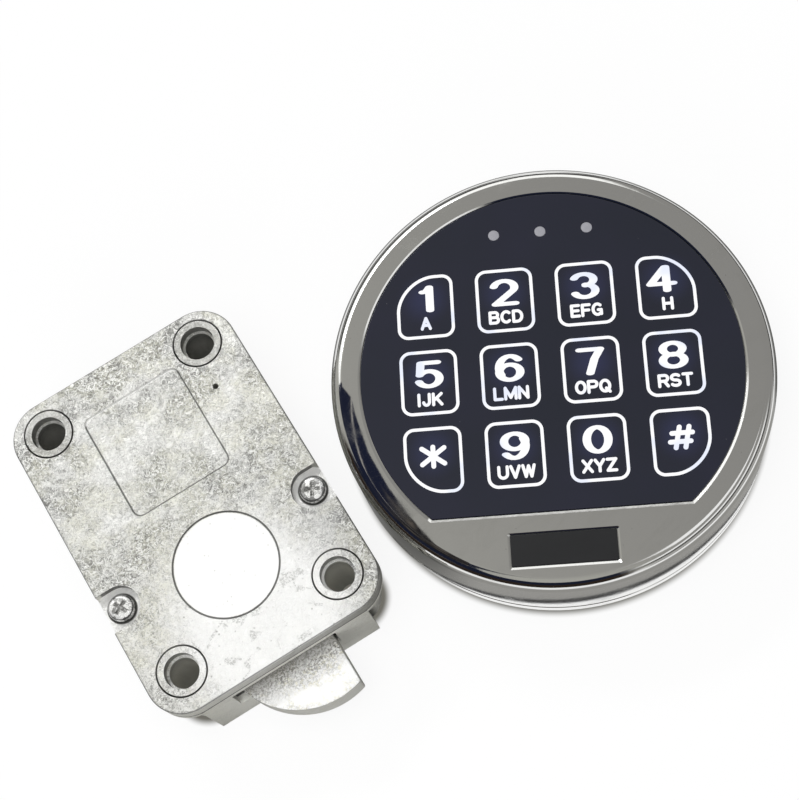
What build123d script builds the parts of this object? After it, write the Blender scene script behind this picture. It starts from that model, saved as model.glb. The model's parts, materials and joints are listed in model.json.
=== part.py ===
from build123d import *
import math
import os

# An electronic safe lock: a swing-bolt lock body and its round touch keypad, lying side by
# side on the plane z = 0, which is the mounting face of both.
# The frame's origin is the centre of the lock's four fixing holes. The bolt points to -Y and
# the keypad stands on the +X side, turned about the vertical.
# Lengths are in millimetres, angles in degrees.

# Clearances
RUN_GAP = 0.3
PIVOT_GAP = 0.05
SEAT_GAP = 0.1
OVERRUN = 1.0

# Lock case: outline, walls and the four fixing holes
HOLE_SPACING_X = 41.28
HOLE_SPACING_Y = 66.68
FIXING_HOLE_R = 3.55
COUNTERBORE_R = 4.15
COUNTERBORE_DEPTH = 3.0
HOLES_TO_SIDE = 9.16
HOLES_TO_FRONT = 9.66
HOLES_TO_REAR = 8.16
CASE_CORNER_R = 9.0
CASE_HEIGHT = 23.4
CASE_FLOOR = 3.0
CASE_WALL = 2.4
FLANGE_DEPTH = 2.2
FLANGE_REACH = 1.0
COLUMN_R = 6.5
BOSS_R = 5.7
END_WALL_WIDTH = 44.0
SIDE_WALL_LENGTH = 53.0

# Cover plate of the lock and the marks cast in its face
COVER_THICKNESS = 4.6
COVER_EDGE = 0.5
COVER_SCREW_INSET = 4.0
COVER_SCREW_Y = -12.65
SCREW_HEAD_R = 3.15
SCREW_HEAD_HEIGHT = 2.0
SCREW_SHANK_R = 1.5
SCREW_LENGTH = 9.0
NOTCH_WIDTH = 9.8
NOTCH_DEPTH = 2.6
PAD_R = 4.0
RECESS_WIDTH = 25.4
RECESS_LENGTH = 27.8
RECESS_CORNER_R = 2.0
RECESS_DEPTH = 0.4
RECESS_X = 0.4
RECESS_Y = 17.3
RING_GROOVE_R = 12.65
RING_GROOVE_WIDTH = 0.3
RING_GROOVE_DEPTH = 0.3
RING_GROOVE_Y = -17.5
PINHOLE_R = 0.65
PINHOLE_X = 19.07
PINHOLE_Y = 21.4

# Swing bolt and its pivot pin
BOLT_R = 19.4
BOLT_THICKNESS = 9.0
BOLT_BELOW_COVER = 3.0
BOLT_ROOT = 3.0
BOLT_EDGE = 0.4
PIVOT_X = 6.8
PIVOT_INSET = 6.2
PIVOT_R = 3.0
PIVOT_BOSS_R = 5.0
PIVOT_SOCKET_DEPTH = 1.8
STRIKE_OFFSET = 5.6
SWING_ANGLE = 90
QUARTER_TURN = 90
CAM_RISE = 6.0
CAM_STEPS = 6
APERTURE_GAP = 0.6
APERTURE_SPARE = 1.9

# Locking plate, its springs and its guide rails
PLATE_WIDTH = 16.0
PLATE_LENGTH = 17.0
PLATE_THICKNESS = 5.0
NOSE_R = 2.0
RAIL_LENGTH = 13.0
RAIL_WALL = 2.0
RAIL_SHELF = 2.0
SPRING_R = 1.5
SPRING_WIRE = 0.5
SPRING_SPACING = 11.2
SPRING_POCKET = 10.0

# Solenoid that draws the plate back
SOLENOID_STANDOFF = 1.0
SOLENOID_WIDTH = 14.0
FRAME_SHEET = 1.5
COIL_LENGTH = 19.0
COIL_R = 6.2
WINDING_R = 5.8
BOBBIN_WALL = 0.8
BOBBIN_FLANGE = 1.0
POLE_LENGTH = 4.2
PLUNGER_R = 3.0
PLUNGER_ENTRY = 8.0
HOOK_LENGTH = 2.0
NECK_LENGTH = 2.0
NECK_R = 1.5
EAR_R = 2.8
EAR_REACH = 3.0

# Circuit board of the lock and what it carries
BOARD_THICKNESS = 1.6
BOARD_EDGE_GAP = 1.2
BOARD_EAR_GAP = 2.6
ARM_COLUMN_GAP = 0.74
BOARD_ARM_LENGTH = 13.6
BOARD_BOSS_R = 2.5
BOARD_BOSS_INSET = 3.2
SMALL_HEAD_R = 2.2
SMALL_HEAD_HEIGHT = 1.5
SMALL_SHANK_R = 1.1
SMALL_SHANK_GRIP = 3.0
CHIP_SIDE = 12.0
CHIP_HEIGHT = 2.0
CAPACITOR_R = 4.0
CAPACITOR_HEIGHT = 9.0
SOCKET_WIDTH = 12.6
SOCKET_HEIGHT = 9.4
SOCKET_MOUTH_WIDTH = 9.8
SOCKET_MOUTH_HEIGHT = 7.0
SOCKET_MOUTH_DEPTH = 11.0

# Keypad: where it stands, its round head and the base that it drops on to
UNIT_GAP = 5.6
KEYPAD_Y = -18.6
KEYPAD_ANGLE = -28.6
HEAD_R = 52.0
HEAD_TOP = 27.0
HEAD_WALL = 2.8
HEAD_EDGE_R = 3.0
FACE_THICKNESS = 3.1
SKIRT_GROOVE_HEIGHT = 3.4
SKIRT_GROOVE_WIDTH = 0.8
SKIRT_GROOVE_DEPTH = 0.5
BASE_SETBACK = 0.6
BASE_RING_HEIGHT = 3.0
BASE_PLATE = 2.2
SPIGOT_HEIGHT = 5.0
SPIGOT_WALL = 2.0
BASE_HOLE_SPACING = 41.3
BASE_HOLE_R = 2.2
CABLE_HOLE_R = 6.0
CLAMP_SCREW_R = 1.5
CLAMP_SCREW_HEIGHT = 2.4
CLAMP_SCREW_ANGLES = (30, 100)

# Touch panel, its window and the light behind it
FACE_RIM = 7.3
FACE_FOOT = 18.4
PANEL_THICKNESS = 1.8
PANEL_GAP = 0.2
PANEL_CHAMFER = 0.4
LEDGE_WIDTH = 1.7
WINDOW_WIDTH = 24.4
WINDOW_HEIGHT = 7.5
WINDOW_DEPTH = 0.8
WINDOW_DROP = 4.95
LENS_R = 1.3
LENS_SPACING = 11.1
LENS_INSET = 9.6
KEY_PITCH = 18.95
KEY_COLUMNS = 4
KEY_ROWS = 3
KEY_FIELD_Y = -0.7
LED_WIDTH = 2.4
LED_LENGTH = 1.6
LED_HEIGHT = 0.8
LED_POCKET_GAP = 0.3

# Circuit board of the keypad and what hangs below it
HEAD_BOARD_GAP = 0.6
HEAD_BOARD_PAD = 0.8
HEAD_PAD_R = 2.2
HEAD_SCREW_ANGLES = (40, 140, 205, 335)
KEYPAD_CHIP_SIDE = 10.0
KEYPAD_CHIP_X = 10.0
KEYPAD_CHIP_Y = 18.0
SOUNDER_R = 6.0
SOUNDER_HEIGHT = 5.5
SOUNDER_TO_EDGE = 12.0
SOUNDER_ANGLE = 140
HEADER_WIDTH = 10.0
HEADER_LENGTH = 5.6
HEADER_HEIGHT = 6.0
HEADER_WALL = 0.8
HEADER_X = -3.0
HEADER_TO_TRAY = 3.0

# Battery, its clip and its tray
BATTERY_LENGTH = 46.4
BATTERY_WIDTH = 26.5
BATTERY_THICKNESS = 17.5
BATTERY_CORNER_R = 2.5
TRAY_TO_BASE = 1.1
TERMINAL_R = 2.9
SOCKET_TERMINAL_R = 3.7
TERMINAL_HEIGHT = 2.1
TERMINAL_SPACING = 12.7
CLIP_THICKNESS = 4.4
CLIP_WIDTH = 12.4
CLIP_LENGTH = 25.0
TRAY_WALL = 1.2
TRAY_ROOF = 0.8
STAKE_R = 1.0
STAKE_SPACING = 40.0

# Places that follow from the sizes above
HOLE_X = HOLE_SPACING_X / 2
HOLE_Y = HOLE_SPACING_Y / 2
CASE_WIDTH = HOLE_SPACING_X + 2 * HOLES_TO_SIDE
CASE_FRONT = -(HOLE_Y + HOLES_TO_FRONT)
CASE_REAR = HOLE_Y + HOLES_TO_REAR
CASE_MIDDLE = (CASE_FRONT + CASE_REAR) / 2
COVER_TOP = CASE_HEIGHT + COVER_THICKNESS
BODY_REAR = CASE_REAR - FLANGE_REACH
BODY_WIDTH = CASE_WIDTH - 2 * FLANGE_REACH
COVER_SCREW_X = CASE_WIDTH / 2 - COVER_SCREW_INSET
PIVOT_Y = CASE_FRONT + PIVOT_INSET
BOLT_TOP = CASE_HEIGHT - BOLT_BELOW_COVER
BOLT_BOTTOM = BOLT_TOP - BOLT_THICKNESS
BOLT_MIDDLE = (BOLT_TOP + BOLT_BOTTOM) / 2
CAM_SLOPE = math.atan2(CAM_RISE, math.radians(SWING_ANGLE) * STRIKE_OFFSET)
NOSE_Y = PIVOT_Y + STRIKE_OFFSET + (NOSE_R + RUN_GAP) / math.cos(CAM_SLOPE)
PLATE_FRONT = PIVOT_Y + BOLT_R - CAM_RISE + 2 * RUN_GAP
PLATE_REAR = PLATE_FRONT + PLATE_LENGTH
PLATE_BOTTOM = BOLT_MIDDLE - PLATE_THICKNESS / 2
PLATE_TOP = BOLT_MIDDLE + PLATE_THICKNESS / 2
RAIL_FRONT = PIVOT_Y + BOLT_R + RUN_GAP
SOLENOID_FRONT = PLATE_REAR + CAM_RISE + SOLENOID_STANDOFF
SOLENOID_REAR = SOLENOID_FRONT + COIL_LENGTH + 2 * FRAME_SHEET
FRAME_SEAT = BOLT_MIDDLE - COIL_R - RUN_GAP - FRAME_SHEET
EAR_X = SOLENOID_WIDTH / 2 + EAR_REACH
EAR_Y = (SOLENOID_FRONT + SOLENOID_REAR) / 2
LOCK_BOARD_TOP = FRAME_SEAT + BOARD_THICKNESS
BOARD_LEFT = -(BODY_WIDTH / 2 - CASE_WALL - BOARD_EDGE_GAP)
BOARD_RIGHT = PIVOT_X - EAR_X - EAR_R - BOARD_EAR_GAP
BOARD_FRONT = COVER_SCREW_Y + PAD_R + RUN_GAP
BOARD_STEP = SIDE_WALL_LENGTH / 2 - CASE_WALL - BOARD_EDGE_GAP
BOARD_REAR = BODY_REAR - CASE_WALL - RUN_GAP
ARM_FRONT = BOARD_REAR - BOARD_ARM_LENGTH
ARM_SIDE = HOLE_X - COLUMN_R - ARM_COLUMN_GAP
SOCKET_Z = LOCK_BOARD_TOP + SOCKET_HEIGHT / 2
BOARD_BOSSES = (
    (BOARD_LEFT + BOARD_BOSS_INSET, BOARD_FRONT + BOARD_BOSS_INSET),
    (BOARD_LEFT + BOARD_BOSS_INSET, BOARD_STEP - BOARD_BOSS_INSET),
    (ARM_SIDE - BOARD_BOSS_INSET, BOARD_REAR - BOARD_BOSS_INSET),
)
EAR_CENTRES = ((PIVOT_X - EAR_X, EAR_Y), (PIVOT_X + EAR_X, EAR_Y))
KEYPAD_X = CASE_WIDTH / 2 + UNIT_GAP + HEAD_R
HEAD_BORE_R = HEAD_R - HEAD_WALL
SPIGOT_R = HEAD_BORE_R - RUN_GAP
SPIGOT_BORE_R = SPIGOT_R - SPIGOT_WALL
PANEL_R = HEAD_R - FACE_RIM
PANEL_CHORD = HEAD_R - FACE_FOOT
WINDOW_Y = -(PANEL_CHORD + WINDOW_DROP + WINDOW_HEIGHT / 2)
LENS_Y = PANEL_R - LENS_INSET
PANEL_BOTTOM = HEAD_TOP - PANEL_THICKNESS
FACE_BOTTOM = HEAD_TOP - FACE_THICKNESS
SOUNDER_PLACE_R = HEAD_BORE_R - SOUNDER_TO_EDGE - SOUNDER_R
SOUNDER_X = SOUNDER_PLACE_R * math.cos(math.radians(SOUNDER_ANGLE))
SOUNDER_Y = SOUNDER_PLACE_R * math.sin(math.radians(SOUNDER_ANGLE))
HEAD_BOARD_TOP = FACE_BOTTOM - HEAD_BOARD_PAD
HEAD_BOARD_BOTTOM = HEAD_BOARD_TOP - BOARD_THICKNESS
HEAD_SCREW_R = HEAD_BORE_R - SMALL_HEAD_R - RUN_GAP
TRAY_LENGTH = BATTERY_LENGTH + TERMINAL_HEIGHT + CLIP_THICKNESS + 2 * TRAY_WALL
TRAY_WIDTH = BATTERY_WIDTH + 2 * TRAY_WALL + 2 * RUN_GAP
BATTERY_Y = TRAY_WIDTH / 2 + TRAY_TO_BASE - math.sqrt(SPIGOT_BORE_R ** 2 - (TRAY_LENGTH / 2) ** 2)
HEADER_Y = BATTERY_Y + TRAY_WIDTH / 2 + HEADER_TO_TRAY + HEADER_LENGTH / 2
BATTERY_TOP = HEAD_BOARD_BOTTOM - TRAY_ROOF - RUN_GAP
BATTERY_BOTTOM = BATTERY_TOP - BATTERY_THICKNESS
BATTERY_MIDDLE = (BATTERY_TOP + BATTERY_BOTTOM) / 2
BATTERY_X = -TRAY_LENGTH / 2 + TRAY_WALL + RUN_GAP + BATTERY_LENGTH / 2
TERMINAL_X = BATTERY_X + BATTERY_LENGTH / 2


def slab(outline, low, high):
    """A flat outline raised from one height to another."""
    return Pos(0, 0, low) * extrude(outline, amount=high - low)


def block(x_low, x_high, y_low, y_high, z_low, z_high):
    """A box between two corners."""
    outline = Pos((x_low + x_high) / 2, (y_low + y_high) / 2) * Rectangle(x_high - x_low, y_high - y_low)
    return slab(outline, z_low, z_high)


def post(x, y, radius, low, high):
    """An upright round post or hole."""
    return slab(Pos(x, y) * Circle(radius), low, high)


def bar(x, z, radius, front, rear):
    """A round bar that lies along Y."""
    length = rear - front
    return Pos(x, (front + rear) / 2, z) * Rot(90, 0, 0) * Cylinder(radius, length)


def upper_edges(solid, height):
    """The edges that lie in one level plane."""
    return solid.edges().filter_by_position(Axis.Z, height - SEAT_GAP / 2, height + SEAT_GAP / 2)


def fixing_places():
    """The centres of the four fixing holes."""
    return [(x, y) for x in (-HOLE_X, HOLE_X) for y in (-HOLE_Y, HOLE_Y)]


def cover_screw_places():
    """The centres of the two cover screws."""
    return [(-COVER_SCREW_X, COVER_SCREW_Y), (COVER_SCREW_X, COVER_SCREW_Y)]


def case_plan():
    """The rounded rectangle that the case's rim and the cover share."""
    plate = RectangleRounded(CASE_WIDTH, CASE_REAR - CASE_FRONT, CASE_CORNER_R)
    return Pos(0, CASE_MIDDLE) * plate


def body_plan(inset):
    """The cross-shaped plan of the case below its rim, drawn in by a wall or not at all."""
    depth = BODY_REAR - CASE_FRONT - 2 * inset
    long_way = Pos(0, (CASE_FRONT + BODY_REAR) / 2) * Rectangle(END_WALL_WIDTH - 2 * inset, depth)
    wide_way = Rectangle(BODY_WIDTH - 2 * inset, SIDE_WALL_LENGTH - 2 * inset)
    return long_way + wide_way


def columns(radius, low, high):
    """Round columns about the four fixing holes."""
    return [post(x, y, radius, low, high) for x, y in fixing_places()]


def guide_rails():
    """Two stepped rails that carry the locking plate by its edges."""
    rails = []
    for side in (-1, 1):
        edge = PIVOT_X + side * PLATE_WIDTH / 2
        inner = edge - side * RAIL_SHELF
        lip = edge + side * RUN_GAP
        outer = lip + side * RAIL_WALL
        rear = RAIL_FRONT + RAIL_LENGTH
        shelf_top = PLATE_BOTTOM - RUN_GAP
        rails.append(block(min(inner, outer), max(inner, outer), RAIL_FRONT, rear, CASE_FLOOR, shelf_top))
        rails.append(block(min(lip, outer), max(lip, outer), RAIL_FRONT, rear, CASE_FLOOR, PLATE_TOP))
    return rails


def lock_case():
    """Die-cast case with corner columns, rim, pivot boss, rails and board bosses."""
    case = slab(body_plan(0), 0, CASE_HEIGHT) + columns(COLUMN_R, 0, CASE_HEIGHT)
    case += slab(case_plan(), CASE_HEIGHT - FLANGE_DEPTH, CASE_HEIGHT)
    for x, y in cover_screw_places():
        case += post(x, y, PAD_R, 0, CASE_HEIGHT) & slab(case_plan(), 0, CASE_HEIGHT)
    room = slab(body_plan(CASE_WALL), CASE_FLOOR, CASE_HEIGHT + OVERRUN)
    room -= columns(COLUMN_R, 0, COVER_TOP)
    for x, y in cover_screw_places():
        room -= post(x, y, PAD_R, 0, COVER_TOP)
    case -= room
    case += columns(BOSS_R, CASE_HEIGHT - FLANGE_DEPTH, COVER_TOP)
    case += post(PIVOT_X, PIVOT_Y, PIVOT_BOSS_R, CASE_FLOOR, BOLT_BOTTOM - RUN_GAP)
    case += guide_rails()
    for x, y in EAR_CENTRES:
        case += post(x, y, EAR_R, CASE_FLOOR, FRAME_SEAT)
        case -= post(x, y, SMALL_SHANK_R + PIVOT_GAP, FRAME_SEAT - SMALL_SHANK_GRIP - SEAT_GAP, FRAME_SEAT)
    for x, y in BOARD_BOSSES:
        case += post(x, y, BOARD_BOSS_R, CASE_FLOOR, FRAME_SEAT)
        low = FRAME_SEAT - SMALL_SHANK_GRIP - SEAT_GAP
        case -= post(x, y, SMALL_SHANK_R + PIVOT_GAP, low, FRAME_SEAT)
    for x, y in fixing_places():
        case -= post(x, y, FIXING_HOLE_R, -OVERRUN, COVER_TOP + OVERRUN)
        case -= post(x, y, COUNTERBORE_R, COVER_TOP - COUNTERBORE_DEPTH, COVER_TOP + OVERRUN)
    for x, y in cover_screw_places():
        case -= post(x, y, SCREW_SHANK_R + SEAT_GAP, CASE_HEIGHT - SCREW_LENGTH, CASE_HEIGHT + OVERRUN)
    case -= post(PIVOT_X, PIVOT_Y, PIVOT_R + PIVOT_GAP, CASE_FLOOR, BOLT_BOTTOM)
    case -= bolt_aperture()
    case -= socket_mouth(SEAT_GAP, SOCKET_MOUTH_DEPTH)
    return case


def bolt_aperture():
    """The window in the front wall that the bolt swings through."""
    left = PIVOT_X - BOLT_R - APERTURE_SPARE
    right = PIVOT_X + STRIKE_OFFSET + APERTURE_GAP
    front = CASE_FRONT - OVERRUN
    rear = CASE_FRONT + CASE_WALL + RUN_GAP
    return block(left, right, front, rear, BOLT_BOTTOM - APERTURE_GAP, BOLT_TOP + APERTURE_GAP)


def socket_mouth(grow, depth):
    """The way in for the cable's plug, from behind the case."""
    width = SOCKET_MOUTH_WIDTH / 2 + grow
    height = SOCKET_MOUTH_HEIGHT / 2 + grow
    rear = BODY_REAR + OVERRUN
    return block(-width, width, BOARD_REAR - depth, rear, SOCKET_Z - height, SOCKET_Z + height)


def case_cover():
    """Cast cover plate: screw notches, label recess, ring mark, pinhole and a boss over the pivot."""
    cover = slab(case_plan(), CASE_HEIGHT, COVER_TOP)
    cover = fillet(upper_edges(cover, COVER_TOP), COVER_EDGE)
    inside = slab(body_plan(CASE_WALL + SEAT_GAP), 0, COVER_TOP)
    cover += post(PIVOT_X, PIVOT_Y, PIVOT_BOSS_R, BOLT_TOP + RUN_GAP, CASE_HEIGHT) & inside
    for x, y in fixing_places():
        cover -= post(x, y, BOSS_R + RUN_GAP, CASE_HEIGHT - OVERRUN, COVER_TOP + OVERRUN)
    tab_top = COVER_TOP - NOTCH_DEPTH
    for x, y in cover_screw_places():
        side = math.copysign(1, x)
        outside = x + side * (COVER_SCREW_INSET + OVERRUN)
        notch = post(x, y, NOTCH_WIDTH / 2, tab_top, COVER_TOP + OVERRUN)
        notch += block(min(x, outside), max(x, outside), y - NOTCH_WIDTH / 2, y + NOTCH_WIDTH / 2,
                       tab_top, COVER_TOP + OVERRUN)
        cover -= notch
        cover -= post(x, y, SCREW_SHANK_R + SEAT_GAP, CASE_HEIGHT - OVERRUN, COVER_TOP)
    recess = Pos(RECESS_X, RECESS_Y) * RectangleRounded(RECESS_WIDTH, RECESS_LENGTH, RECESS_CORNER_R)
    cover -= slab(recess, COVER_TOP - RECESS_DEPTH, COVER_TOP + OVERRUN)
    ring = Circle(RING_GROOVE_R) - Circle(RING_GROOVE_R - RING_GROOVE_WIDTH)
    cover -= slab(Pos(0, RING_GROOVE_Y) * ring, COVER_TOP - RING_GROOVE_DEPTH, COVER_TOP + OVERRUN)
    cover -= post(PINHOLE_X, PINHOLE_Y, PINHOLE_R, CASE_HEIGHT - OVERRUN, COVER_TOP + OVERRUN)
    cover -= post(PIVOT_X, PIVOT_Y, PIVOT_R + PIVOT_GAP, BOLT_TOP, CASE_HEIGHT + PIVOT_SOCKET_DEPTH)
    return cover


def screw(x, y, seat, head_r, head_height, shank_r, reach):
    """A round-headed screw, head up, with a cross cut in its head."""
    body = post(x, y, head_r, seat, seat + head_height)
    body = fillet(upper_edges(body, seat + head_height), head_height / 2)
    body += post(x, y, shank_r, seat - reach, seat)
    depth = head_height / 2
    arm = head_r * 2 / 3
    half = head_r / 6
    top = seat + head_height
    body -= block(x - arm, x + arm, y - half, y + half, top - depth, top + OVERRUN)
    body -= block(x - half, x + half, y - arm, y + arm, top - depth, top + OVERRUN)
    return body


def cover_screws():
    """The two screws that hold the cover down."""
    seat = COVER_TOP - NOTCH_DEPTH
    grip = seat - CASE_HEIGHT + SCREW_LENGTH - SEAT_GAP
    return [screw(x, y, seat, SCREW_HEAD_R, SCREW_HEAD_HEIGHT, SCREW_SHANK_R, grip)
            for x, y in cover_screw_places()]


def swing_bolt():
    """D-shaped bolt with a hub and, inside the case, a cam whose radius grows with the angle."""
    root_y = BOLT_ROOT - PIVOT_INSET
    cam_r = STRIKE_OFFSET + CAM_RISE
    tip = (STRIKE_OFFSET, -math.sqrt(BOLT_R ** 2 - STRIKE_OFFSET ** 2))
    heel = (-math.sqrt(BOLT_R ** 2 - root_y ** 2), root_y)
    hub_angle = math.radians(QUARTER_TURN / 2)
    hub_point = (STRIKE_OFFSET * math.cos(hub_angle), STRIKE_OFFSET * math.sin(hub_angle))
    cam_points = []
    for step in range(CAM_STEPS + 1):
        share = step / CAM_STEPS
        angle = math.radians(QUARTER_TURN + SWING_ANGLE * share)
        radius = STRIKE_OFFSET + CAM_RISE * share
        cam_points.append((radius * math.cos(angle), radius * math.sin(angle)))
    low_angle = math.radians(-3 * QUARTER_TURN / 2)
    low_point = (BOLT_R * math.cos(low_angle), BOLT_R * math.sin(low_angle))
    outline = Line(tip, (STRIKE_OFFSET, 0))
    outline += ThreePointArc((STRIKE_OFFSET, 0), hub_point, (0, STRIKE_OFFSET))
    outline += Spline(cam_points)
    outline += Polyline([cam_points[-1], (-cam_r, root_y), heel])
    outline += ThreePointArc(heel, low_point, tip)
    plan = make_face(outline) - Circle(PIVOT_R + PIVOT_GAP)
    bolt = slab(plan, BOLT_BOTTOM, BOLT_TOP)
    rim = bolt.edges().filter_by(GeomType.CIRCLE).filter_by(lambda e: abs(e.radius - BOLT_R) < SEAT_GAP)
    bolt = chamfer(rim, BOLT_EDGE)
    return Pos(PIVOT_X, PIVOT_Y) * bolt


def bolt_pivot_pin():
    """Steel pin that stands in the floor boss and reaches up into the cover."""
    pin = post(PIVOT_X, PIVOT_Y, PIVOT_R, CASE_FLOOR, CASE_HEIGHT + PIVOT_SOCKET_DEPTH - SEAT_GAP)
    return chamfer(pin.edges().group_by(Axis.Z)[-1], SEAT_GAP * 4)


def spring_places():
    """Where the two plate springs lie across the case."""
    return [PIVOT_X - SPRING_SPACING / 2, PIVOT_X + SPRING_SPACING / 2]


def locking_plate():
    """Sliding plate: a round nose that rides the cam, spring pockets and a hook for the plunger."""
    plate = block(PIVOT_X - PLATE_WIDTH / 2, PIVOT_X + PLATE_WIDTH / 2, PLATE_FRONT, PLATE_REAR,
                  PLATE_BOTTOM, PLATE_TOP)
    plate += post(PIVOT_X, NOSE_Y, NOSE_R, PLATE_BOTTOM, PLATE_TOP)
    plate += block(PIVOT_X - NOSE_R, PIVOT_X + NOSE_R, NOSE_Y, PLATE_FRONT, PLATE_BOTTOM, PLATE_TOP)
    for x in spring_places():
        plate -= bar(x, BOLT_MIDDLE, SPRING_R + RUN_GAP, PLATE_REAR - SPRING_POCKET, PLATE_REAR + OVERRUN)
    hook_rear = PLATE_REAR - NECK_LENGTH + SEAT_GAP
    hook_front = hook_rear - HOOK_LENGTH - 2 * SEAT_GAP
    plate -= block(PIVOT_X - PLUNGER_R - SEAT_GAP, PIVOT_X + PLUNGER_R + SEAT_GAP, hook_front, hook_rear,
                   PLATE_BOTTOM - OVERRUN, PLATE_TOP + OVERRUN)
    plate -= block(PIVOT_X - NECK_R - SEAT_GAP, PIVOT_X + NECK_R + SEAT_GAP, hook_rear, PLATE_REAR + OVERRUN,
                   PLATE_BOTTOM - OVERRUN, PLATE_TOP + OVERRUN)
    return plate


def plate_springs():
    """The two springs that press the plate on the cam, drawn as sleeves of their outer size."""
    front = PLATE_REAR - SPRING_POCKET + RUN_GAP
    rear = SOLENOID_FRONT - SEAT_GAP
    return [bar(x, BOLT_MIDDLE, SPRING_R, front, rear)
            - bar(x, BOLT_MIDDLE, SPRING_R - SPRING_WIRE, front - OVERRUN, rear + OVERRUN)
            for x in spring_places()]


def solenoid_frame():
    """Folded steel frame with two fixing ears, the plunger's hole and the fixed pole."""
    left = PIVOT_X - SOLENOID_WIDTH / 2
    right = PIVOT_X + SOLENOID_WIDTH / 2
    sheet_top = FRAME_SEAT + FRAME_SHEET
    top = BOLT_MIDDLE + COIL_R
    frame = block(left, right, SOLENOID_FRONT, SOLENOID_REAR, FRAME_SEAT, sheet_top)
    frame += block(left, right, SOLENOID_FRONT, SOLENOID_FRONT + FRAME_SHEET, FRAME_SEAT, top)
    frame += block(left, right, SOLENOID_REAR - FRAME_SHEET, SOLENOID_REAR, FRAME_SEAT, top)
    for x, y in EAR_CENTRES:
        frame += post(x, y, EAR_R, FRAME_SEAT, sheet_top)
        frame += block(min(x, PIVOT_X), max(x, PIVOT_X), y - EAR_R, y + EAR_R, FRAME_SEAT, sheet_top)
    for x, y in EAR_CENTRES:
        frame -= post(x, y, SMALL_SHANK_R + SEAT_GAP, FRAME_SEAT - OVERRUN, sheet_top + OVERRUN)
    frame -= bar(PIVOT_X, BOLT_MIDDLE, PLUNGER_R + RUN_GAP, SOLENOID_FRONT - OVERRUN,
                 SOLENOID_FRONT + FRAME_SHEET)
    pole_rear = SOLENOID_REAR - FRAME_SHEET
    return frame + bar(PIVOT_X, BOLT_MIDDLE, PLUNGER_R, pole_rear - POLE_LENGTH, pole_rear)


def solenoid_bobbin():
    """Moulded spool on which the coil is wound."""
    front = SOLENOID_FRONT + FRAME_SHEET
    rear = SOLENOID_REAR - FRAME_SHEET
    bore = PLUNGER_R + RUN_GAP
    spool = bar(PIVOT_X, BOLT_MIDDLE, bore + BOBBIN_WALL, front, rear)
    spool += bar(PIVOT_X, BOLT_MIDDLE, COIL_R, front, front + BOBBIN_FLANGE)
    spool += bar(PIVOT_X, BOLT_MIDDLE, COIL_R, rear - BOBBIN_FLANGE, rear)
    return spool - bar(PIVOT_X, BOLT_MIDDLE, bore, front - OVERRUN, rear + OVERRUN)


def solenoid_winding():
    """The copper winding, as one sleeve."""
    front = SOLENOID_FRONT + FRAME_SHEET + BOBBIN_FLANGE
    rear = SOLENOID_REAR - FRAME_SHEET - BOBBIN_FLANGE
    inner = PLUNGER_R + RUN_GAP + BOBBIN_WALL
    sleeve = bar(PIVOT_X, BOLT_MIDDLE, WINDING_R, front, rear)
    return sleeve - bar(PIVOT_X, BOLT_MIDDLE, inner, front - OVERRUN, rear + OVERRUN)


def solenoid_plunger():
    """Steel plunger with a neck and a head that hook into the plate."""
    neck_front = PLATE_REAR - NECK_LENGTH
    plunger = bar(PIVOT_X, BOLT_MIDDLE, PLUNGER_R, PLATE_REAR + SEAT_GAP,
                  SOLENOID_FRONT + FRAME_SHEET + PLUNGER_ENTRY)
    plunger += bar(PIVOT_X, BOLT_MIDDLE, NECK_R, neck_front, PLATE_REAR + SEAT_GAP)
    return plunger + bar(PIVOT_X, BOLT_MIDDLE, PLUNGER_R, neck_front - HOOK_LENGTH, neck_front)


def small_screws(places, seat):
    """Small screws that stand head up on one level."""
    return [screw(x, y, seat, SMALL_HEAD_R, SMALL_HEAD_HEIGHT, SMALL_SHANK_R,
                  seat + SMALL_SHANK_GRIP - low) for x, y, low in places]


def solenoid_screws():
    """The two screws in the solenoid frame's ears."""
    places = [(x, y, FRAME_SEAT) for x, y in EAR_CENTRES]
    return small_screws(places, FRAME_SEAT + FRAME_SHEET)


def lock_board_screws():
    """The three screws of the lock's circuit board."""
    places = [(x, y, FRAME_SEAT) for x, y in BOARD_BOSSES]
    return small_screws(places, LOCK_BOARD_TOP)


def lock_circuit_board():
    """L-shaped board beside and behind the solenoid."""
    board = block(BOARD_LEFT, BOARD_RIGHT, BOARD_FRONT, BOARD_STEP, FRAME_SEAT, LOCK_BOARD_TOP)
    board += block(-ARM_SIDE, BOARD_RIGHT, BOARD_FRONT, BOARD_REAR, FRAME_SEAT, LOCK_BOARD_TOP)
    board += block(-ARM_SIDE, ARM_SIDE, ARM_FRONT, BOARD_REAR, FRAME_SEAT, LOCK_BOARD_TOP)
    for x, y in BOARD_BOSSES:
        board -= post(x, y, SMALL_SHANK_R + SEAT_GAP, FRAME_SEAT - OVERRUN, LOCK_BOARD_TOP + OVERRUN)
    return board


def lock_processor():
    """Square controller chip in the middle of the board's long part."""
    x = (BOARD_LEFT + BOARD_RIGHT) / 2
    y = (BOARD_FRONT + BOARD_STEP) / 2
    half = CHIP_SIDE / 2
    chip = block(x - half, x + half, y - half, y + half, LOCK_BOARD_TOP, LOCK_BOARD_TOP + CHIP_HEIGHT)
    return chamfer(chip.edges().group_by(Axis.Z)[-1], CHIP_HEIGHT / 6)


def lock_capacitor():
    """Round can that stores the solenoid's pulse."""
    x = BOARD_RIGHT - CAPACITOR_R - SEAT_GAP
    y = BOARD_FRONT + CAPACITOR_R + SEAT_GAP
    can = post(x, y, CAPACITOR_R, LOCK_BOARD_TOP, LOCK_BOARD_TOP + CAPACITOR_HEIGHT)
    return chamfer(can.edges().group_by(Axis.Z)[-1], SEAT_GAP * 4)


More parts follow.
